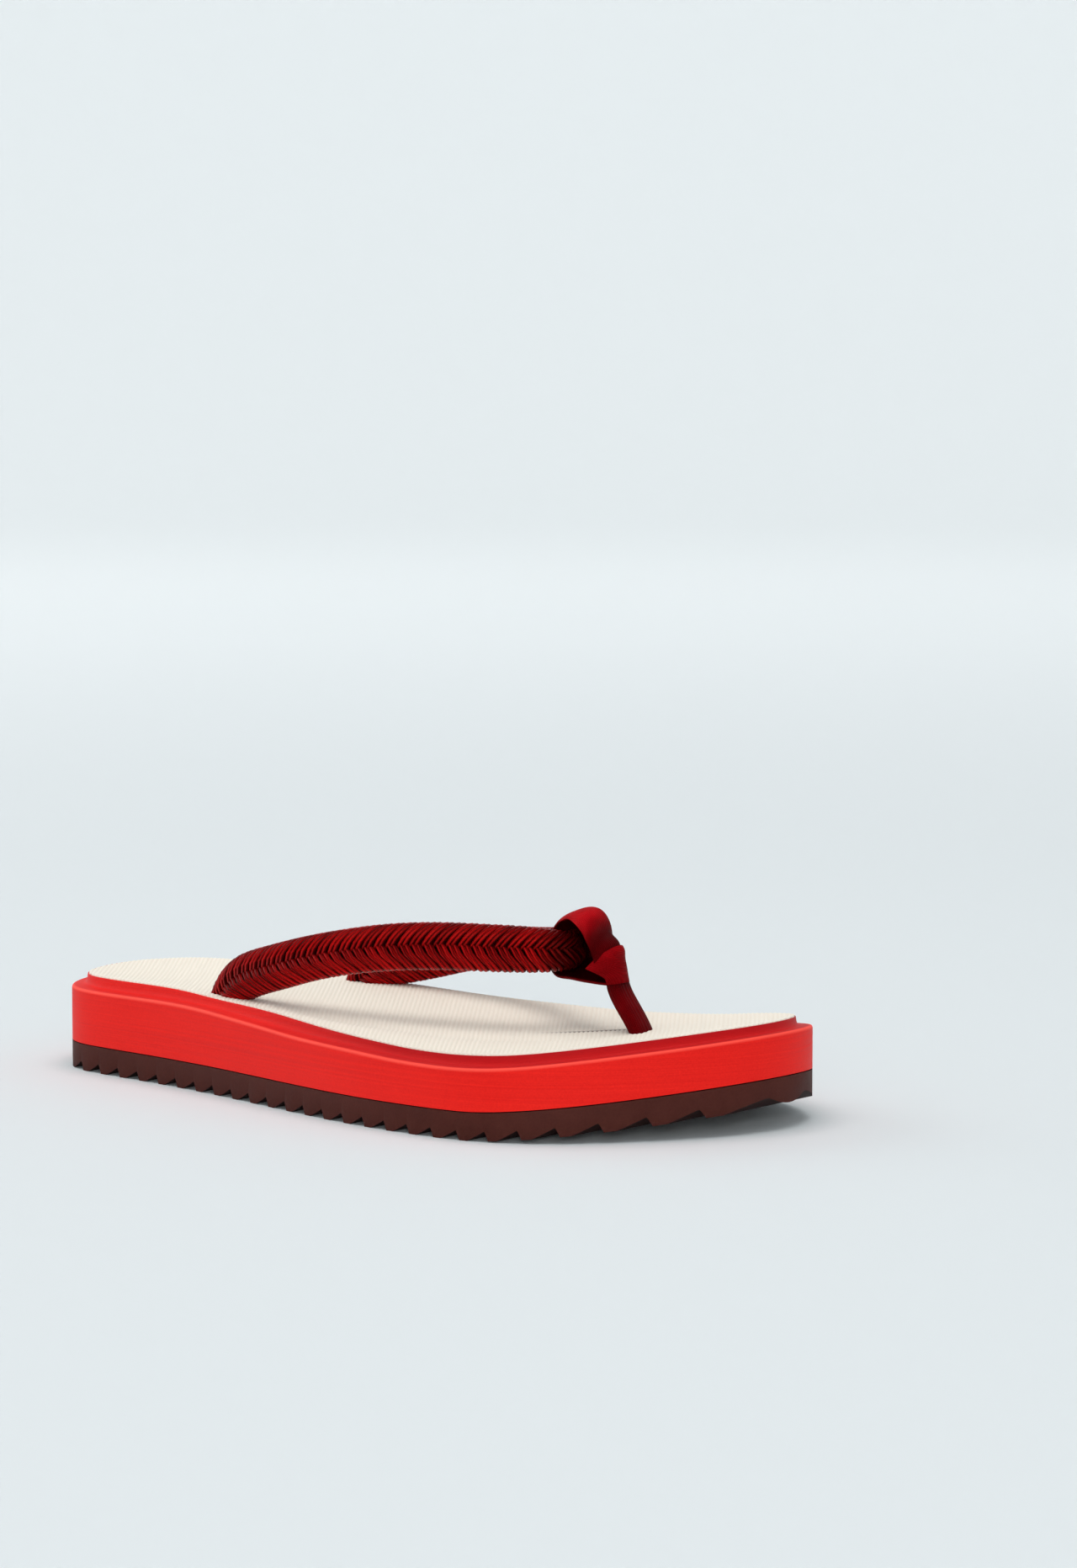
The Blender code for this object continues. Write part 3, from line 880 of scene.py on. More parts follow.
@dataclass(frozen=True)
class CordFinish:
    """Glossy twisted cord of the braid."""

    name: str = "red_cord"
    light: Colour = (0.47, 0.0045, 0.005)
    dark: Colour = (0.055, 0.0003, 0.001)
    # Painted shade on each cord's flanks.
    flank: Colour = (0.012, 0.0001, 0.0004)
    sheen: Colour = (1.0, 0.14, 0.10)
    gloss: float = 0.17
    rough: float = 0.3
    plies: float = 5.0
    lay_length: float = 14.0
    fibre_scale: Place = (1.5, 26.0, 1.0)
    relief: float = 0.00022

    def material(self) -> Material:
        """Build the cord's material, with its plies wound round it.

        Returns:
            The material.
        """
        graph = Graph(self.name)
        surface = graph.surface()
        along, around = graph.part(surface, "X"), graph.part(surface, "Y")
        ply = (along / self.lay_length + around * self.plies).wave() ** 0.6
        fibre = graph.noise(surface, self.fibre_scale, 3.0, 0.6)
        share = ply * 0.75 + (graph.attribute("tone") - 0.5) * 0.45 + (fibre - 0.5) * 0.7 + 0.05
        # Painted highlight on each cord's outer crest, painted shade on its flanks, and painted shade at its
        # ends and near the nose from the out attribute.
        crest = ((around.wave() - 0.5) * 2.2 + (fibre - 0.5) * 0.4).held() ** 1.4
        lit = (crest * graph.attribute("out")).held()
        wear_and_highlight = graph.blend(share.held(), self.dark, self.light)
        return graph.finish(
            Base_Color=graph.blend(lit, self.flank, wear_and_highlight),
            Roughness=self.rough + (fibre - 0.5) * 0.25 - (crest - 1.0) * 0.35,
            Normal=graph.bump(ply * 0.7 + fibre * 0.3, self.relief, 1.0),
            Specular_IOR_Level=self.gloss,
            Specular_Tint=self.sheen,
        )


@dataclass(frozen=True)
class RibbonFinish:
    """Matt ribbon of the toe loop, with corded ribs along it."""

    name: str
    pitch: float
    weave_pitch: float = 0.42
    # Lit and shaded colours of the ribbon, mixed by its texture and by the painted light and shade.
    light: Colour = (0.62, 0.004, 0.009)
    dark: Colour = (0.022, 0.0002, 0.0006)
    sheen: Colour = (1.0, 0.08, 0.10)
    gloss: float = 0.06
    rough: float = 0.55
    cloud_scale: Place = (0.35, 0.35, 1.0)
    fibre_scale: Place = (4.0, 4.0, 1.0)
    relief: float = 0.00020

    def material(self) -> Material:
        """Build the ribbon's material from its UV map, which counts millimetres.

        Returns:
            The material.
        """
        graph = Graph(self.name)
        surface = graph.surface()
        rib = (graph.part(surface, "Y") / self.pitch).wave()
        weave = (graph.part(surface, "X") / self.weave_pitch).wave()
        cloud = graph.noise(surface, self.cloud_scale)
        fibre = graph.noise(surface, self.fibre_scale, 3.0, 0.6)
        share = rib * 0.2 + (cloud - 0.5) * 0.5 + (fibre - 0.5) * 0.5 + 0.58
        # Painted light and shade from the open attribute.
        lit = share.held() * graph.attribute("open") ** 1.3
        return graph.finish(
            Base_Color=graph.blend(lit, self.dark, self.light),
            Roughness=self.rough + (fibre - 0.5) * 0.2,
            Normal=graph.bump(rib * 0.6 + weave * 0.1 + fibre * 0.3, self.relief, 0.9),
            Specular_IOR_Level=self.gloss,
            Specular_Tint=self.sheen,
        )


# --- Sole ---
@dataclass
class Outsole:
    """Rubber outsole with straight sawtooth lugs."""

    slot: Slot = Slot.OUTSOLE
    form: SoleForm = SOLE
    finish: RubberFinish = RubberFinish()
    columns: int = 240
    tooth_pitch: float = 8.95
    first_notch: float = 0.35
    edge_break: float = 0.22
    edge_angle: float = 32.0
    cutter_reach: float = 75.0
    cutter_columns: int = 18
    gap_level: float = 2.9
    gap_side_limit: float = 0.35
    gap_flat_limit: float = -0.985
    notch: Table = Table(
        "along depth",
        (
            (-5.35, 0.0), (-4.0, 0.62), (-2.6, 1.34), (-1.3, 2.04), (-0.5, 2.5), (-0.15, 2.7),
            (0.12, 2.66), (0.32, 2.3), (0.7, 1.3), (1.17, 0.0),
        ),
    )

    def _slab(self) -> Piece:
        """Make a flat slab with the sole's outline.

        Returns:
            The slab, still without lugs.
        """
        piece, along, side = add_grid("rubber_outsole", self.columns, 1)
        turn = along * math.pi
        plan = self.form.edge(np.where(side > 0.5, FULL_TURN - turn, turn))
        top = self.form.rubber_top - self.form.glue_line
        move_vertices(piece, self.form.to_row(np.column_stack([plan, np.full(len(turn), top)])))
        tidy_surface(piece)
        open_all(piece)
        extrude((0.0, 0.0, -top * MM))
        close()
        tidy_surface(piece)
        return piece

    def _cutters(self) -> Piece:
        """Make one long wedge for each gap between lugs.

        Returns:
            All the wedges, joined.
        """
        wedge, along, side = add_grid("lug_gap", self.cutter_columns, 1)
        at = self.notch.first + along * (self.notch.last - self.notch.first)
        level = np.where(side > 0.5, np.clip(self.notch.read("depth", at), 0.0, None), -1.0)
        move_vertices(wedge, np.column_stack([at, np.full_like(at, -self.cutter_reach), level]) * MM)
        open_all(wedge)
        extrude((0.0, 2.0 * self.cutter_reach * MM, 0.0))
        close()
        tidy_surface(wedge)
        shape = coordinates(wedge)
        count = int((self.form.length - self.first_notch) // self.tooth_pitch) + 1
        stations = self.first_notch + np.arange(count) * self.tooth_pitch - self.form.middle[0]
        wedges = [shaped_copy(wedge, shape + np.array([station * MM, 0.0, 0.0])) for station in stations]
        bpy.data.objects.remove(wedge)
        return join("lug_gaps", wedges)

    def _gap_shade_mask(self, piece: Piece) -> Array:
        """Mark the sloping faces between the lugs, where little light comes, for painted shade.

        Args:
            piece: The outsole before its toe is lifted.

        Returns:
            A mark for each face.
        """
        marks = []
        for polygon in piece.data.polygons:
            between = polygon.center.z < self.gap_level * MM and abs(polygon.normal.y) < self.gap_side_limit
            marks.append(float(between and polygon.normal.z > self.gap_flat_limit))
        return np.array(marks)

    def build(self) -> list[Piece]:
        """Cut the lugs, break their edges and lift the toe.

        Returns:
            The outsole.
        """
        piece = self._slab()
        cutters = self._cutters()
        apply_modifier(piece, "BOOLEAN", operation="DIFFERENCE", solver="EXACT", object=cutters)
        bpy.data.objects.remove(cutters)
        width, angle = self.edge_break * MM, math.radians(self.edge_angle)
        apply_modifier(piece, "BEVEL", width=width, segments=2, limit_method="ANGLE", angle_limit=angle)
        # Painted shade between the lugs, stored for the rubber's material.
        write_attribute(piece, "gap", self._gap_shade_mask(piece), "FACE")
        places = coordinates(piece)
        places[:, 2] += self.form.spring(places[:, 0] / MM + self.form.middle[0]) * MM
        move_vertices(piece, places)
        shade(piece, degrees=30.0)
        dress(piece, self.finish.material())
        return [piece]


# The ledge column is painted shade on the ledge and the lip; the last column is a painted highlight along
# the rolled top edge.
MIDSOLE_RINGS = (
    # inset rise  above  ledge wear_and_highlight
    (5.3, 1.0, 0.8, 1.0, 0.0),
    (5.2, 1.0, 0.94, 1.0, 0.0),
    (5.04, 1.0, 0.98, 0.95, 0.0),
    (4.93, 1.0, 0.86, 0.9, 0.0),
    (4.84, 0.9, 0.6, 0.8, 0.0),
    (4.72, 0.6, 0.45, 0.72, 0.0),
    (4.5, 0.34, 0.22, 0.66, 0.0),
    (4.1, 0.17, 0.12, 0.62, 0.0),
    (3.4, 0.09, 0.1, 0.6, 0.0),
    (2.4, 0.05, 0.09, 0.6, 0.0),
    (1.6, 0.0, 0.08, 0.6, 0.0),
    (1.05, 0.0, 0.04, 0.5, 0.05),
    (0.66, 0.0, -0.04, 0.1, 0.6),
    (0.36, 0.0, -0.18, 0.0, 1.0),
    (0.15, 0.0, -0.4, 0.0, 1.0),
    (0.03, 0.0, -0.7, 0.0, 0.6),
    (0.0, 0.0, -1.1, 0.0, 0.0),
)


@dataclass
class Midsole:
    """Foam midsole: seat, ledge, rolled top edge and upright wall."""

    slot: Slot = Slot.MIDSOLE
    form: SoleForm = SOLE
    finish: FoamFinish = FoamFinish()
    columns: int = 260
    rows: int = 14
    seat_inset: float = 5.34
    wall_steps: int = 6

    def _seat(self) -> Piece:
        """Make the moulded seat under the footbed.

        Returns:
            The seat as an open surface, with each vertex's place round the edge.
        """
        piece, along, side = add_grid("foam_midsole", self.columns, self.rows)
        turn = along * math.pi
        outer = self.form.edge(turn, self.seat_inset)
        inner = self.form.edge(FULL_TURN - turn, self.seat_inset)
        plan = outer + (inner - outer) * side[:, None]
        level = self.form.seat(plan[:, 0], plan[:, 1]) - self.form.glue_line
        move_vertices(piece, self.form.to_row(np.column_stack([plan, level])))
        write_attribute(piece, "turn", np.where(side > 0.5, FULL_TURN - turn, turn))
        # The seat, hidden under the footbed, takes full painted shade and no painted highlight.
        write_attribute(piece, "ledge", np.ones(len(turn)))
        write_attribute(piece, "wear_and_highlight", np.zeros(len(turn)))
        tidy_surface(piece)
        return piece

    def _top_height(self, rise: float, above: float, x: Array) -> Array:
        """Height of a ring between the wall's top and the seat's edge."""
        return (1.0 - rise) * WALL_TOP.read("height", x) + rise * SEAT.read("height", x) + above

    def _wall_height(self, share: float, x: Array) -> Array:
        """Height of a ring at a share of the way down the wall."""
        foot = self.form.rubber_top + self.form.spring(x) + self.form.glue_line
        return (1.0 - share) * self._top_height(0.0, MIDSOLE_RINGS[-1][2], x) + share * foot

    def _extrude_ring(
        self, piece: Piece, height_at: Callable[[Array], Array], inset: float, ledge: float, wear_and_highlight: float
    ) -> None:
        """Extrude the selected edge loop to its next place.

        Args:
            piece: The midsole, in object mode with its last loop selected.
            height_at: Height of the new loop over stations x.
            inset: The new loop's distance inside the outline.
            ledge: How much painted shade, in the ledge's darker colour, the loop shows.
            wear_and_highlight: How much of the painted highlight along the rolled edge the loop shows.
        """
        bpy.ops.object.mode_set(mode="EDIT")
        bpy.ops.mesh.extrude_edges_move(TRANSFORM_OT_translate={"value": (0.0, 0.0, 0.0)})
        close()
        picked = np.array([vertex.select for vertex in piece.data.vertices])
        plan = self.form.edge(read_attribute(piece, "turn")[picked], inset)
        places = coordinates(piece)
        places[picked] = self.form.to_row(np.column_stack([plan, height_at(plan[:, 0])]))
        move_vertices(piece, places)
        for name, value in (("ledge", ledge), ("wear_and_highlight", wear_and_highlight)):
            values = read_attribute(piece, name)
            values[picked] = value
            write_attribute(piece, name, values)

    def build(self) -> list[Piece]:
        """Grow the ledge, the rolled edge and the wall from the seat, and close the underside.

        Returns:
            The midsole.
        """
        piece = self._seat()
        open_all(piece)
        bpy.ops.mesh.region_to_loop()
        close()
        for inset, rise, above, ledge, wear_and_highlight in MIDSOLE_RINGS:
            self._extrude_ring(piece, partial(self._top_height, rise, above), inset, ledge, wear_and_highlight)
        for step in range(1, self.wall_steps + 1):
            share = step / self.wall_steps
            self._extrude_ring(piece, partial(self._wall_height, share), 0.0, 0.0, 0.0)
        bpy.ops.object.mode_set(mode="EDIT")
        bpy.ops.mesh.edge_face_add()
        close()
        tidy_surface(piece)
        shade(piece, degrees=45.0)
        dress(piece, self.finish.material())
        return [piece]


@dataclass
class Footbed:
    """Cream top sheet with fine slanting ribs."""

    slot: Slot = Slot.FOOTBED
    form: SoleForm = SOLE
    finish: SheetFinish = SheetFinish()
    rib_heading: float = 126.0
    rib_pitch: float = 1.32
    rib_depth: float = 0.16
    rows_per_rib: int = 6
    columns: int = 30
    thickness: float = 1.3
    clearance: float = 0.15
    rim: float = 0.32
    edge_samples: int = 2881
    rib_fullness: float = 0.7

    def _spans(self) -> tuple[Array, Array, Array, Array]:
        """Find where lines along the ribs meet the sheet's outline.

        Returns:
            Each line's place across the ribs, its two ends, and the rib directions' unit vectors.
        """
        heading = math.radians(self.rib_heading)
        along = np.array([math.cos(heading), math.sin(heading)])
        across = np.array([along[1], -along[0]])
        turn = np.linspace(0.0, FULL_TURN, self.edge_samples)
        edge = self.form.edge(turn, self.form.ledge_width + self.rim)
        p, q = edge @ across, edge @ along
        first, last = sorted((int(np.argmin(p)), int(np.argmax(p))))
        step = self.rib_pitch / self.rows_per_rib
        at = np.arange(p.min() + step * 0.5, p.max(), step)
        at = np.concatenate([[p.min()], at, [p.max()]])
        ends = []
        for part in (np.arange(first, last + 1), np.r_[last : len(p) - 1, 0 : first + 1]):
            order = np.argsort(p[part])
            ends.append(np.interp(at, p[part][order], q[part][order]))
        return at, np.minimum(*ends), np.maximum(*ends), np.stack([across, along])

    def build(self) -> list[Piece]:
        """Lay the ribbed sheet on the seat and give it its thickness.

        Returns:
            The footbed.
        """
        at, start, stop, directions = self._spans()
        piece, row_share, column_share = add_grid("ribbed_footbed", len(at) - 1, self.columns)
        row = np.rint(row_share * (len(at) - 1)).astype(int)
        eased = 0.5 - 0.5 * np.cos(np.pi * column_share)
        share = 0.65 * column_share + 0.35 * eased
        p, q = at[row], start[row] + (stop[row] - start[row]) * share
        plan = p[:, None] * directions[0] + q[:, None] * directions[1]
        rib = (0.5 + 0.5 * np.cos(FULL_TURN * p / self.rib_pitch)) ** self.rib_fullness
        level = self.form.seat(plan[:, 0], plan[:, 1]) + self.clearance + self.thickness
        level = level - self.rib_depth * (1.0 - rib)
        move_vertices(piece, self.form.to_row(np.column_stack([plan, level])))
        write_attribute(piece, "rib", rib)
        tidy_surface(piece, outward=False)
        if piece.data.polygons[len(piece.data.polygons) // 2].normal.z < 0.0:
            open_all(piece)
            bpy.ops.mesh.flip_normals()
            close()
        apply_modifier(piece, "SOLIDIFY", thickness=self.thickness * MM, offset=-1.0)
        shade(piece, degrees=50.0)
        dress(piece, self.finish.material())
        return [piece]


# --- Braided strap ---
STRAP_ROUTE = (
    # x     y      z     height thickness
    (70.0, -26.0, 20.6, 12.4, 8.0),
    (72.2, -26.4, 24.3, 12.8, 8.4),
    (75.2, -27.0, 28.4, 13.6, 8.8),
    (79.4, -27.8, 32.1, 14.3, 9.2),
    (85.6, -28.8, 35.1, 14.7, 9.4),
    (92.2, -29.4, 37.2, 14.7, 9.4),
    (98.5, -29.6, 39.0, 14.7, 9.4),
    (106.0, -28.9, 41.2, 14.5, 9.4),
    (114.0, -27.2, 43.2, 14.4, 9.4),
    (123.0, -24.4, 45.0, 14.5, 9.4),
    (132.0, -20.9, 46.3, 14.8, 9.4),
    (141.0, -16.9, 47.0, 15.0, 9.4),
    (150.5, -12.1, 47.2, 15.0, 9.4),
    (159.0, -7.4, 47.0, 14.9, 9.4),
    (165.6, -3.3, 46.8, 14.7, 9.2),
    (170.8, 0.9, 46.5, 14.2, 8.6),
    (174.6, 5.0, 46.2, 13.2, 7.8),
    (176.0, 9.2, 46.0, 12.4, 7.4),
    (174.2, 13.2, 45.7, 12.6, 7.8),
    (170.2, 16.8, 45.2, 13.0, 8.6),
    (164.8, 20.4, 44.4, 13.4, 9.2),
    (158.4, 24.0, 43.4, 13.6, 9.4),
    (151.0, 27.2, 42.4, 13.8, 9.4),
    (142.5, 29.0, 41.7, 13.8, 9.4),
    (133.5, 29.6, 41.1, 13.9, 9.4),
    (124.5, 29.2, 40.2, 14.1, 9.4),
    (116.5, 28.2, 38.4, 14.3, 9.4),
    (109.0, 26.9, 36.5, 14.4, 9.4),
    (102.2, 25.6, 34.9, 14.4, 9.4),
    (95.8, 24.4, 33.3, 14.2, 9.2),
    (90.4, 23.5, 31.0, 13.8, 9.0),
    (86.7, 22.9, 27.9, 13.2, 8.6),
    (84.8, 22.6, 24.2, 12.6, 8.2),
    (84.0, 22.5, 20.6, 12.2, 8.0),
)


class StrapRoute(Route):
    """Smooth centre line of the strap, with its size and directions along the way."""

    fullness: float = 0.85

    def __init__(self) -> None:
        """Read the route's table, and find the nose, its foremost place."""
        super().__init__(STRAP_ROUTE)
        self.nose = float(self.knots[int(np.argmax([row[0] for row in STRAP_ROUTE]))])

    def on_section(self, at: Array, angle: Array, lift: Array | float) -> Array:
        """Find places on or near the strap's skin.

        Args:
            at: Lengths along the strap.
            angle: Angles round the section: 0 on the outer face, a quarter turn on top.
            lift: Heights above the nominal skin.

        Returns:
            Table places, one row each.
        """
        forward = self.heading(at)
        outward = unit(np.cross(forward, np.array([0.0, 0.0, 1.0])))
        upright = unit(np.cross(outward, forward))
        height, thickness = self.curves[3](at), self.curves[4](at)
        across = fuller(np.cos(angle), self.fullness) * (thickness / 2.0 + lift)
        level = fuller(np.sin(angle), self.fullness) * (height / 2.0 + lift)
        return self.place(at) + outward * across[..., None] + upright * level[..., None]


@dataclass(frozen=True)
class Lay:
    """How a cord runs from one chevron line of the braid to the other.

    Attributes:
        side: 1 over the top of the strap, -1 underneath.
        advance: Length along the strap that the cord covers.
        bend: How strongly the cord hugs the chevron lines.
        lag: Start along the strap, as a share of the groups' pitch.
        depth: How deep the cord's ends dive.
        reach: Share of the cord that each dive takes.
        swell: Rise just before the dive.
        taper: Share of the cord over which its ends thin out.
        spread: Widening of the cord at its middle.
        bare: Shares between which the cord comes out of its neighbours' shade.
    """

    side: int
    advance: float
    bend: float
    lag: float
    depth: float
    reach: float
    swell: float
    taper: float
    spread: float
    bare: tuple[float, float]


class Half(Enum):
    """The braid's two halves."""

    OVER = Lay(1, 13.0, 0.3, 0.0, 2.3, 0.13, 0.0, 0.1, 0.45, (0.03, 0.15))
    UNDER = Lay(-1, 10.0, 0.95, 0.5, 1.3, 0.03, 0.5, 0.03, 0.7, (0.0, 0.05))


@dataclass
class Braid:
    """Flattened round braid of paired cords that meet in a chevron along both faces."""

    slot: Slot = Slot.STRAP
    route: StrapRoute = field(default_factory=StrapRoute)
    form: SoleForm = SOLE
    finish: CordFinish = CordFinish()
    # The core is near black, painted shade in the gaps between the cords.
    core_shade_finish: CordFinish = CordFinish(
        name="strap_core_shade", light=(0.05, 0.001, 0.002), dark=(0.02, 0.0005, 0.001), rough=0.8
    )
    group_pitch: float = 3.6
    pair_gap: float = 1.5
    cord_length: float = 28.0
    cord_width: float = 1.36
    cord_height: float = 2.2
    corners: tuple[float, ...] = (45.0, 90.0, 135.0, 180.0, 270.0, 0.0)
    segments: int = 15
    crowding: float = 0.6
    tuck: float = 0.07
    sink: float = 1.38
    looseness: float = 0.12
    thin_end: float = 0.35
    share_step: float = 1e-3
    swell_rise: tuple[float, float] = (0.0, 0.05)
    swell_fall: tuple[float, float] = (0.06, 0.2)
    seeds: tuple[int, int] = (5, 6)
    lowest: float = 21.5
    nose_shade: tuple[float, float] = (171.5, 178.0)
    nose_darkening: float = 0.8
    core_lift: float = -2.3
    core_rings: int = 150
    core_sides: int = 20

    def _cord(self) -> tuple[Piece, Array, Array]:
        """Make the straight closed tube that every cord is shaped from.

        Returns:
            The tube, and each vertex's share along it and turn round it.
        """
        count = len(self.corners)
        piece, even, angle = add_tube("cord", count, self.segments)
        open_all(piece)
        bpy.ops.mesh.normals_make_consistent(inside=False)
        close()
        share = even - self.crowding * np.sin(FULL_TURN * even) / FULL_TURN
        corner = np.rint((np.degrees(angle) - 30.0) / 60.0).astype(int) % count
        return piece, share, np.radians(np.array(self.corners))[corner]

    def _path(self, start: float, lay: Lay, share: Array) -> tuple[Array, Array]:
        """Follow one cord's middle line over its half of the braid.

        Args:
            start: Length along the strap where the cord leaves the outer chevron line.
            lay: The half's lay.
            share: Shares along the cord.

        Returns:
            The places, and the section's lengths along the strap.
        """
        t = share * (1.0 + 2.0 * self.tuck) - self.tuck
        at = start + lay.advance * (t + lay.bend * np.sin(FULL_TURN * t) / FULL_TURN)
        edge = np.minimum(t, 1.0 - t)
        swell = smooth_step(edge, *self.swell_rise) * (1.0 - smooth_step(edge, *self.swell_fall))
        dive = lay.depth * (1.0 - smooth_step(edge, -self.tuck, lay.reach))
        return self.route.on_section(at, lay.side * math.pi * t, lay.swell * swell - dive - self.sink), at

    def _shape_cord(self, start: float, lay: Lay, share: Array, turn: Array) -> Array:
        """Place one cord's vertices.

        Args:
            start: Length along the strap where the cord starts.
            lay: The half's lay.
            share: Each vertex's share along the cord.
            turn: Each vertex's angle round the cord.

        Returns:
            Table places.
        """
        middle, at = self._path(start, lay, share)
        ahead = self._path(start, lay, share + self.share_step)[0]
        along = unit(ahead - self._path(start, lay, share - self.share_step)[0])
        forward = self.route.heading(at)
        out = middle - self.route.place(at)
        out = out - forward * np.sum(out * forward, axis=-1, keepdims=True)
        out = unit(out - along * np.sum(out * along, axis=-1, keepdims=True))
        full = smooth_step(np.minimum(share, 1.0 - share), -0.01, lay.taper)
        size = self.thin_end + (1.0 - self.thin_end) * full
        spread = lay.spread * np.sin(np.pi * share) ** 2
        wide = self.cord_width / 2.0 * size * (1.0 + spread) * np.cos(turn)
        high = self.cord_height / 2.0 * size * np.sin(turn)
        places = middle + np.cross(along, out) * wide[:, None] + out * high[:, None]
        places[:, 2] = np.maximum(places[:, 2], self.lowest)
        return places

    def _write_wrapped_uv(self, piece: Piece, along: Array, turn: Array) -> None:
        """Store millimetres along the cord and turns round it, with no jump at the last side.

        Args:
            piece: The cord.
            along: Each vertex's length along the cord.
            turn: Each vertex's angle round it.
        """
        around = (turn / FULL_TURN) % 1.0
        write_uv(piece, along, around)
        layer = piece.data.uv_layers["UVMap"].data
        for polygon in piece.data.polygons:
            values = [layer[i].uv.y for i in polygon.loop_indices]
            if polygon.loop_total == 4 and max(values) - min(values) > 0.5:
                for i in polygon.loop_indices:
                    layer[i].uv.y += 1.0 if layer[i].uv.y < 0.5 else 0.0

    def _arm(self, name: str, starts: Array, pattern: tuple[Piece, Array, Array], seed: int) -> Piece:
        """Lay all cords of one arm.

        Args:
            name: The arm's name.
            starts: Where its groups of cords start.
            pattern: The straight tube with its shares and turns.
            seed: Seed for the small differences between cords.

        Returns:
            The cords, joined.
        """
        tube, share, turn = pattern
        lays = [(half.value, place) for half in Half for place in (-0.5, 0.5)]
        tones = iter(np.random.default_rng(seed).random(len(lays) * len(starts)))
        copies = []
        for start in starts:
            for lay, place in lays:
                tone = next(tones)
                lag = place * self.pair_gap + lay.lag * self.group_pitch
                at = start + lag + self.looseness * (tone - 0.5)
                places = self._shape_cord(at, lay, share, turn)
                copy = shaped_copy(tube, self.form.to_row(places))
                # Painted shade where the cords dive under their neighbours, and near the nose.
                bare = smooth_step(np.minimum(share, 1.0 - share), *lay.bare)
                hidden = smooth_step(places[:, 0], *self.nose_shade)
                write_attribute(copy, "tone", np.full(len(share), tone))
                write_attribute(copy, "out", bare * (1.0 - self.nose_darkening * hidden))
                copies.append(copy)
        arm = join(name, copies)
        shade(arm, degrees=70.0)
        return arm

    def _core(self) -> Piece:
        """Make the near-black core, painted shade, that closes the gaps between the cords.

        Returns:
            The core.
        """
        piece, share, angle = add_tube("strap_core", self.core_sides, self.core_rings)
        at = share * self.route.length
        move_vertices(piece, self.form.to_row(self.route.on_section(at, angle, self.core_lift)))
        tidy_surface(piece)
        write_uv(piece, at, angle)
        write_attribute(piece, "tone", np.zeros(len(at)))
        write_attribute(piece, "out", np.ones(len(at)))
        shade(piece, degrees=60.0)
        dress(piece, self.core_shade_finish.material())
        return piece

    def build(self) -> list[Piece]:
        """Make the core and the two arms of cords.

        Returns:
            The core, and the cords of the outer and the inner arm.
        """
        core = self._core()
        tube, share, turn = self._cord()
        self._write_wrapped_uv(tube, share * self.cord_length, turn)
        nose, pitch = self.route.nose, self.group_pitch
        first = nose - pitch * math.ceil((nose + Half.OVER.value.advance) / pitch)
        starts = np.arange(first, self.route.length, pitch)
        arms = [
            self._arm("outer_braid", starts[starts < nose], (tube, share, turn), self.seeds[0]),
            self._arm("inner_braid", starts[starts >= nose], (tube, share, turn), self.seeds[1]),
        ]
        bpy.data.objects.remove(tube)
        cord = self.finish.material()
        for arm in arms:
            dress(arm, cord)
        return [core, *arms]


# --- Toe loop ---
# The open column is painted light and shade: 1 where the ribbon is lit, lower where it lies in shade.
HOOD_RAILS = (
    # near x  y     z     crest x  y     z     far x   y     z     open
    (170.6, 7.8, 40.8, 170.4, 9.2, 40.6, 170.6, 10.6, 40.8, 0.30),
    (170.6, 7.7, 46.5, 170.4, 9.2, 46.8, 170.6, 10.7, 46.5, 0.30),
    (171.3, 7.5, 50.8, 171.1, 9.2, 51.4, 171.6, 12.6, 50.2, 0.50),
    (173.6, 7.2, 53.9, 173.2, 9.3, 54.2, 171.8, 22.3, 39.0, 0.60),
    (176.2, 6.0, 55.1, 176.2, 9.3, 56.4, 175.4, 20.0, 38.9, 0.95),
    (178.4, 5.0, 55.9, 180.0, 9.3, 58.0, 179.6, 17.8, 39.4, 1.00),
    (181.6, 3.8, 55.6, 184.0, 9.3, 59.1, 181.6, 17.0, 41.6, 1.00),
    (184.5, 2.6, 54.5, 186.6, 9.4, 58.7, 183.4, 16.4, 41.4, 1.00),
    (187.0, 1.8, 52.8, 188.4, 9.4, 57.2, 184.4, 15.9, 41.4, 0.72),
    (188.7, 1.4, 50.6, 189.4, 9.4, 55.1, 185.2, 15.4, 41.4, 0.42),
    (189.7, 1.5, 48.4, 189.7, 9.5, 53.0, 186.0, 15.2, 41.3, 0.22),
    (190.2, 2.0, 46.2, 191.0, 9.6, 51.4, 186.8, 15.0, 41.2, 0.16),
    (190.3, 2.6, 44.6, 193.0, 9.5, 49.8, 187.4, 14.6, 41.0, 0.20),
    (190.0, 3.2, 43.2, 193.6, 9.4, 47.4, 187.8, 14.2, 40.6, 0.16),
)

FAN_RAILS = (
    # near x  y     z     crest x  y     z     far x   y     z     open
    (187.6, 2.4, 42.4, 194.4, 9.5, 48.8, 187.0, 14.8, 42.4, 0.62),
    (188.6, 2.7, 42.0, 195.0, 9.5, 47.9, 187.6, 14.6, 41.8, 0.60),
    (190.2, 3.3, 41.3, 195.2, 9.5, 46.0, 188.4, 14.3, 41.0, 0.50),
    (191.8, 4.1, 40.5, 195.8, 9.5, 43.2, 189.6, 14.0, 40.2, 0.45),
    (193.1, 4.8, 39.4, 196.4, 9.4, 40.4, 190.6, 13.8, 39.2, 0.45),
    (193.4, 5.2, 37.8, 197.0, 9.4, 38.2, 191.2, 13.6, 37.9, 0.40),
)

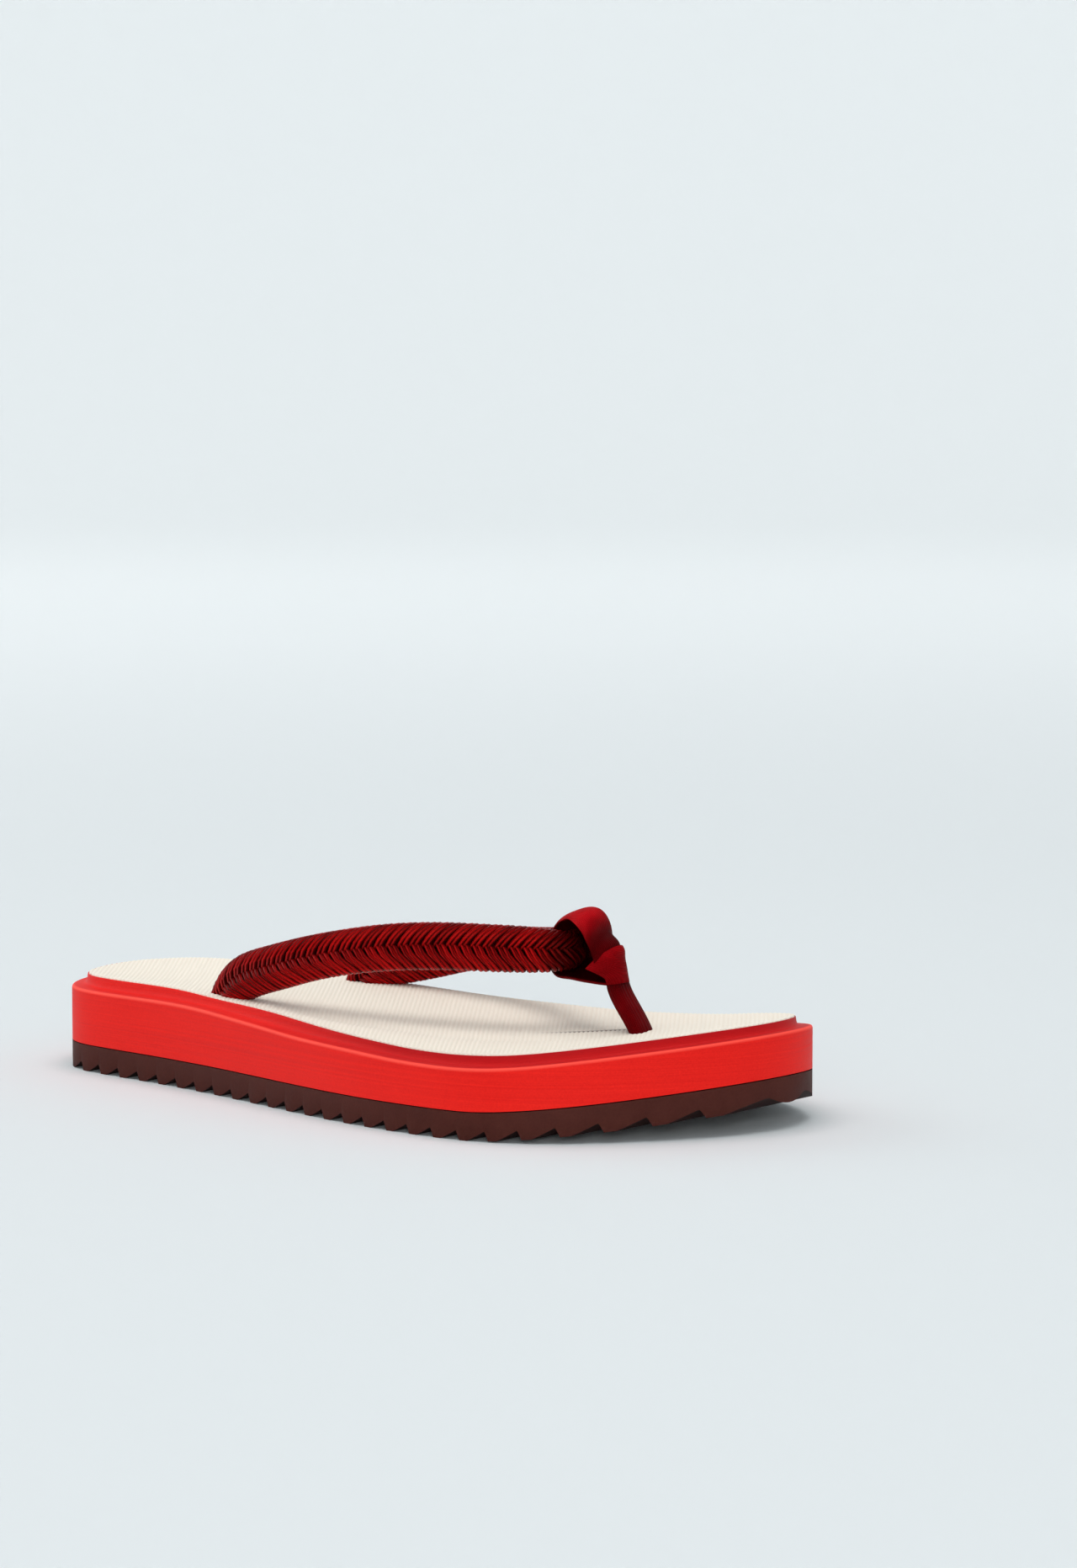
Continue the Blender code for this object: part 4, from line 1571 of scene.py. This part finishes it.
UNDERLAY_RAILS = (
    # near x  y     z     crest x  y     z     far x   y     z     open
    (170.6, 7.8, 40.4, 170.4, 9.2, 40.2, 170.6, 10.6, 40.4, 0.30),
    (173.0, 7.0, 38.8, 173.0, 9.2, 38.4, 172.6, 19.0, 41.2, 0.30),
    (177.5, 6.0, 38.7, 177.5, 9.3, 38.0, 177.0, 18.6, 43.0, 0.35),
    (182.5, 5.0, 38.6, 182.5, 9.3, 37.8, 182.4, 16.4, 41.6, 0.35),
    (187.5, 4.4, 38.5, 187.5, 9.3, 37.6, 187.6, 15.0, 41.2, 0.35),
    (191.4, 4.6, 38.3, 191.6, 9.4, 37.5, 191.0, 13.6, 39.8, 0.35),
    (193.6, 5.6, 38.0, 194.6, 9.4, 37.6, 193.0, 12.8, 38.0, 0.30),
)

# The open column is painted light and shade on the post, darkest under the fan.
POST_ROUTE = (
    # x      y     z     width thick open
    (193.6, 9.4, 41.0, 7.4, 4.4, 0.10),
    (194.1, 9.4, 37.4, 8.0, 4.7, 0.16),
    (195.7, 9.6, 33.8, 8.2, 4.8, 0.30),
    (197.7, 10.3, 30.2, 8.2, 4.8, 0.31),
    (200.2, 11.5, 25.2, 8.1, 4.7, 0.28),
    (202.2, 12.5, 19.9, 8.0, 4.6, 0.20),
)


@dataclass
class ToeLoop:
    """Ribbon folded over the strap's nose, gathered in front and run down between the toes."""

    slot: Slot = Slot.LOOP
    form: SoleForm = SOLE
    ribbon: RibbonFinish = RibbonFinish("fine_ribbon", 0.44)
    sleeve: RibbonFinish = RibbonFinish("ribbed_sleeve", 0.66)
    columns: int = 96
    rows: int = 56
    cloth: float = 0.9
    heart: Place = (182.0, 9.3, 45.0)
    # Painted shade on each sheet's inner side.
    inner_shade: float = 0.2
    fan_centre: tuple[float, float] = (191.0, 37.5)
    fan_radius: float = 8.0
    post_sides: int = 48
    post_rings: int = 60
    post_girth: float = 20.0
    post_fullness: float = 0.7

    def _sheet(self, name: str, rails: Rows, fold_centre: tuple[float, float] | None = None) -> Piece:
        """Lay a folded sheet on three rails: near edge, crest and far edge.

        Args:
            name: The sheet's name.
            rails: Table of the rails' places.
            fold_centre: Where the ribs turn round, as x and z, or None where they run along the rails.

        Returns:
            The sheet, still without thickness.
        """
        route = Route(rails, 3)
        piece, along, side = add_grid(name, self.columns, self.rows)
        at = along * route.length
        near, crest, far = (route.place(at, first) for first in (0, 3, 6))
        lean = 2.0 * side - 1.0
        edge = np.where(lean[:, None] < 0.0, near, far)
        turn = np.abs(lean) * math.pi / 2.0
        reach = np.stack([1.0 - np.cos(turn), np.sin(turn), 1.0 - np.cos(turn)], axis=-1)
        places = crest + (edge - crest) * reach
        move_vertices(piece, self.form.to_row(places))
        write_attribute(piece, "open", route.curves[9](at))
        if fold_centre is None:
            write_uv(piece, at, lean * np.linalg.norm(edge - crest, axis=1))
        else:
            x, z = (places[:, [0, 2]] - np.array(fold_centre)).T
            write_uv(piece, np.arctan2(z, x) * self.fan_radius, np.hypot(x, z))
        tidy_surface(piece, outward=False)
        return piece

    def _thicken(self, piece: Piece) -> None:
        """Give a sheet its thickness, with painted shade on its inner side.

        Args:
            piece: The sheet.
        """
        count = len(piece.data.vertices)
        apply_modifier(piece, "SOLIDIFY", thickness=self.cloth * MM, offset=0.0)
        reach = np.linalg.norm(coordinates(piece) - self.form.to_row(np.array(self.heart)), axis=1)
        inner = slice(0, count) if reach[:count].mean() < reach[count:].mean() else slice(count, None)
        values = read_attribute(piece, "open")
        values[inner] *= self.inner_shade
        write_attribute(piece, "open", values)
        tidy_surface(piece)
        shade(piece, degrees=60.0)

    def _post(self) -> Piece:
        """Make the toe post, a thick ribbed sleeve.

        Returns:
            The post.
        """
        route = Route(POST_ROUTE)
        piece, share, angle = add_tube("toe_post", self.post_sides, self.post_rings)
        at = share * route.length
        forward = route.heading(at)
        across = unit(np.array([0.0, 1.0, 0.0]) - forward * forward[:, 1:2])
        front = np.cross(forward, across)
        # The third column, open, is the post's painted light and shade.
        width, thick, tone = (curve(at) for curve in route.curves[3:])
        aside = fuller(np.cos(angle), self.post_fullness) * width / 2.0
        ahead = fuller(np.sin(angle), self.post_fullness) * thick / 2.0
        places = route.place(at) + across * aside[:, None] + front * ahead[:, None]
        move_vertices(piece, self.form.to_row(places))
        write_attribute(piece, "open", tone)
        write_uv(piece, at, (angle / FULL_TURN % 1.0) * self.post_girth)
        tidy_surface(piece)
        shade(piece, degrees=60.0)
        return piece

    def build(self) -> list[Piece]:
        """Make the hood, the fan, the underlay and the post.

        Returns:
            The pieces.
        """
        sheets = [
            self._sheet("ribbon_hood", HOOD_RAILS),
            self._sheet("ribbon_fan", FAN_RAILS, self.fan_centre),
            self._sheet("ribbon_underlay", UNDERLAY_RAILS),
        ]
        post = self._post()
        ribbon = self.ribbon.material()
        for piece in sheets:
            self._thicken(piece)
            dress(piece, ribbon)
        dress(post, self.sleeve.material())
        return [*sheets, post]


# --- Studio ---
@dataclass(frozen=True)
class SoftLight:
    """Square soft light."""

    name: str
    place: Place
    aim_height: float
    side: float
    watts: float

    def hang(self) -> None:
        """Add the light, turned to the sandal's middle."""
        light = bpy.data.lights.new(self.name, "AREA")
        light.shape = "SQUARE"
        light.size = self.side
        light.energy = self.watts
        lamp = bpy.data.objects.new(self.name, light)
        lamp.location = self.place
        aim = Vector((0.0, 0.0, self.aim_height)) - Vector(self.place)
        lamp.rotation_euler = aim.to_track_quat("-Z", "Y").to_euler()
        bpy.context.collection.objects.link(lamp)


@dataclass(frozen=True)
class Studio:
    """Pale sweep, soft lights and the camera."""

    floor_radius: float = 3.0
    floor_sides: int = 128
    sweep_radius: float = 1.5
    sweep_steps: int = 14
    wall_height: float = 1.6
    floor_colour: Colour = (0.76, 0.795, 0.805)
    glow: Colour = (0.22, 0.225, 0.225)
    glow_distances: tuple[float, float] = (0.5, 2.5)
    glow_heights: tuple[float, float] = (0.9, 0.6)
    surroundings: Colour = (0.93, 0.97, 1.0)
    surroundings_strength: float = 0.40
    camera_place: Place = (1.0190, -1.2277, 0.2608)
    heading: tuple[float, float] = (-0.6204, 0.7843)
    tilt: float = 6.0107
    lens: float = 180.3
    sensor: float = 36.0
    clip: tuple[float, float] = (0.05, 30.0)
    soft_lights: tuple[SoftLight, ...] = (
        SoftLight("overhead_soft", (0.0, -0.2, 3.6), 0.0, 3.1, 73.0),
        SoftLight("front_fill", (2.4, -3.0, 0.78), 0.02, 1.4, 44.0),
        SoftLight("heel_fill", (-2.9, -0.4, 1.3), 0.02, 2.2, 17.0),
    )

    def _sweep_material(self) -> Material:
        """Build the sweep's material, which glows faintly far from the sandal.

        Returns:
            The material.
        """
        graph = Graph("pale_sweep")
        place = graph.place()
        grain = graph.noise(place, 3.0, 2.0)
        away = graph.node("ShaderNodeVectorMath", {"Vector": place}, "Value", operation="LENGTH")
        low = graph.ramp(graph.part(place, "Z"), *self.glow_heights)
        far = graph.ramp(away, *self.glow_distances) * low
        return graph.finish(
            Base_Color=self.floor_colour,
            Roughness=0.85 + (grain - 0.5) * 0.05,
            Emission_Color=graph.blend(far, (0.0, 0.0, 0.0), self.glow),
            Emission_Strength=1.0,
            Specular_IOR_Level=0.1,
        )

    def sweep(self) -> None:
        """Make the round floor that curves up into a wall."""
        clear_selection()
        radius = self.floor_radius
        bpy.ops.mesh.primitive_circle_add(vertices=self.floor_sides, radius=radius, fill_type="NGON")
        piece = bpy.context.object
        piece.name = piece.data.name = "studio_sweep"
        open_all(piece)
        bpy.ops.mesh.region_to_loop()
        size, level = radius, 0.0
        for i in range(1, self.sweep_steps + 1):
            turn = math.pi / 2.0 * i / self.sweep_steps
            wide = radius + self.sweep_radius * math.sin(turn)
            high = self.sweep_radius * (1.0 - math.cos(turn))
            bpy.ops.mesh.extrude_edges_move(TRANSFORM_OT_translate={"value": (0.0, 0.0, high - level)})
            bpy.ops.transform.resize(value=(wide / size, wide / size, 1.0), center_override=(0.0, 0.0, high))
            size, level = wide, high
        bpy.ops.mesh.extrude_edges_move(TRANSFORM_OT_translate={"value": (0.0, 0.0, self.wall_height)})
        bpy.ops.mesh.select_all(action="SELECT")
        bpy.ops.mesh.normals_make_consistent(inside=True)
        close()
        shade(piece, degrees=60.0)
        piece.data.materials.append(self._sweep_material())

    def lights(self) -> None:
        """Hang the lights and set the pale surroundings."""
        for light in self.soft_lights:
            light.hang()
        world = bpy.data.worlds.new("pale_surroundings")
        world.use_nodes = True
        backdrop = world.node_tree.nodes["Background"]
        backdrop.inputs["Color"].default_value = (*self.surroundings, 1.0)
        backdrop.inputs["Strength"].default_value = self.surroundings_strength
        bpy.context.scene.world = world
        bpy.context.scene.view_settings.view_transform = "Standard"

    def camera(self) -> None:
        """Place the camera low beside the outer forefoot."""
        lens = bpy.data.cameras.new("side_camera")
        lens.sensor_fit = "HORIZONTAL"
        lens.sensor_width = self.sensor
        lens.lens = self.lens
        lens.clip_start, lens.clip_end = self.clip
        camera = bpy.data.objects.new("side_camera", lens)
        camera.location = self.camera_place
        tilt = math.radians(self.tilt)
        aim = Vector((self.heading[0] * math.cos(tilt), self.heading[1] * math.cos(tilt), -math.sin(tilt)))
        camera.rotation_euler = aim.to_track_quat("-Z", "Y").to_euler()
        bpy.context.collection.objects.link(camera)
        bpy.context.scene.camera = camera


# --- Assembly ---
def main() -> None:
    """Build the sandal's pieces over the frame."""
    logging.basicConfig(level=logging.INFO, format="%(message)s")
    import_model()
    studio = Studio()
    studio.camera()
    for assembly in (Outsole(), Midsole(), Footbed(), Braid(), ToeLoop()):
        pieces = assembly.build()
        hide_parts(assembly.slot.value)
    studio.sweep()
    studio.lights()
    clear_selection()


if __name__ == "__main__":
    main()
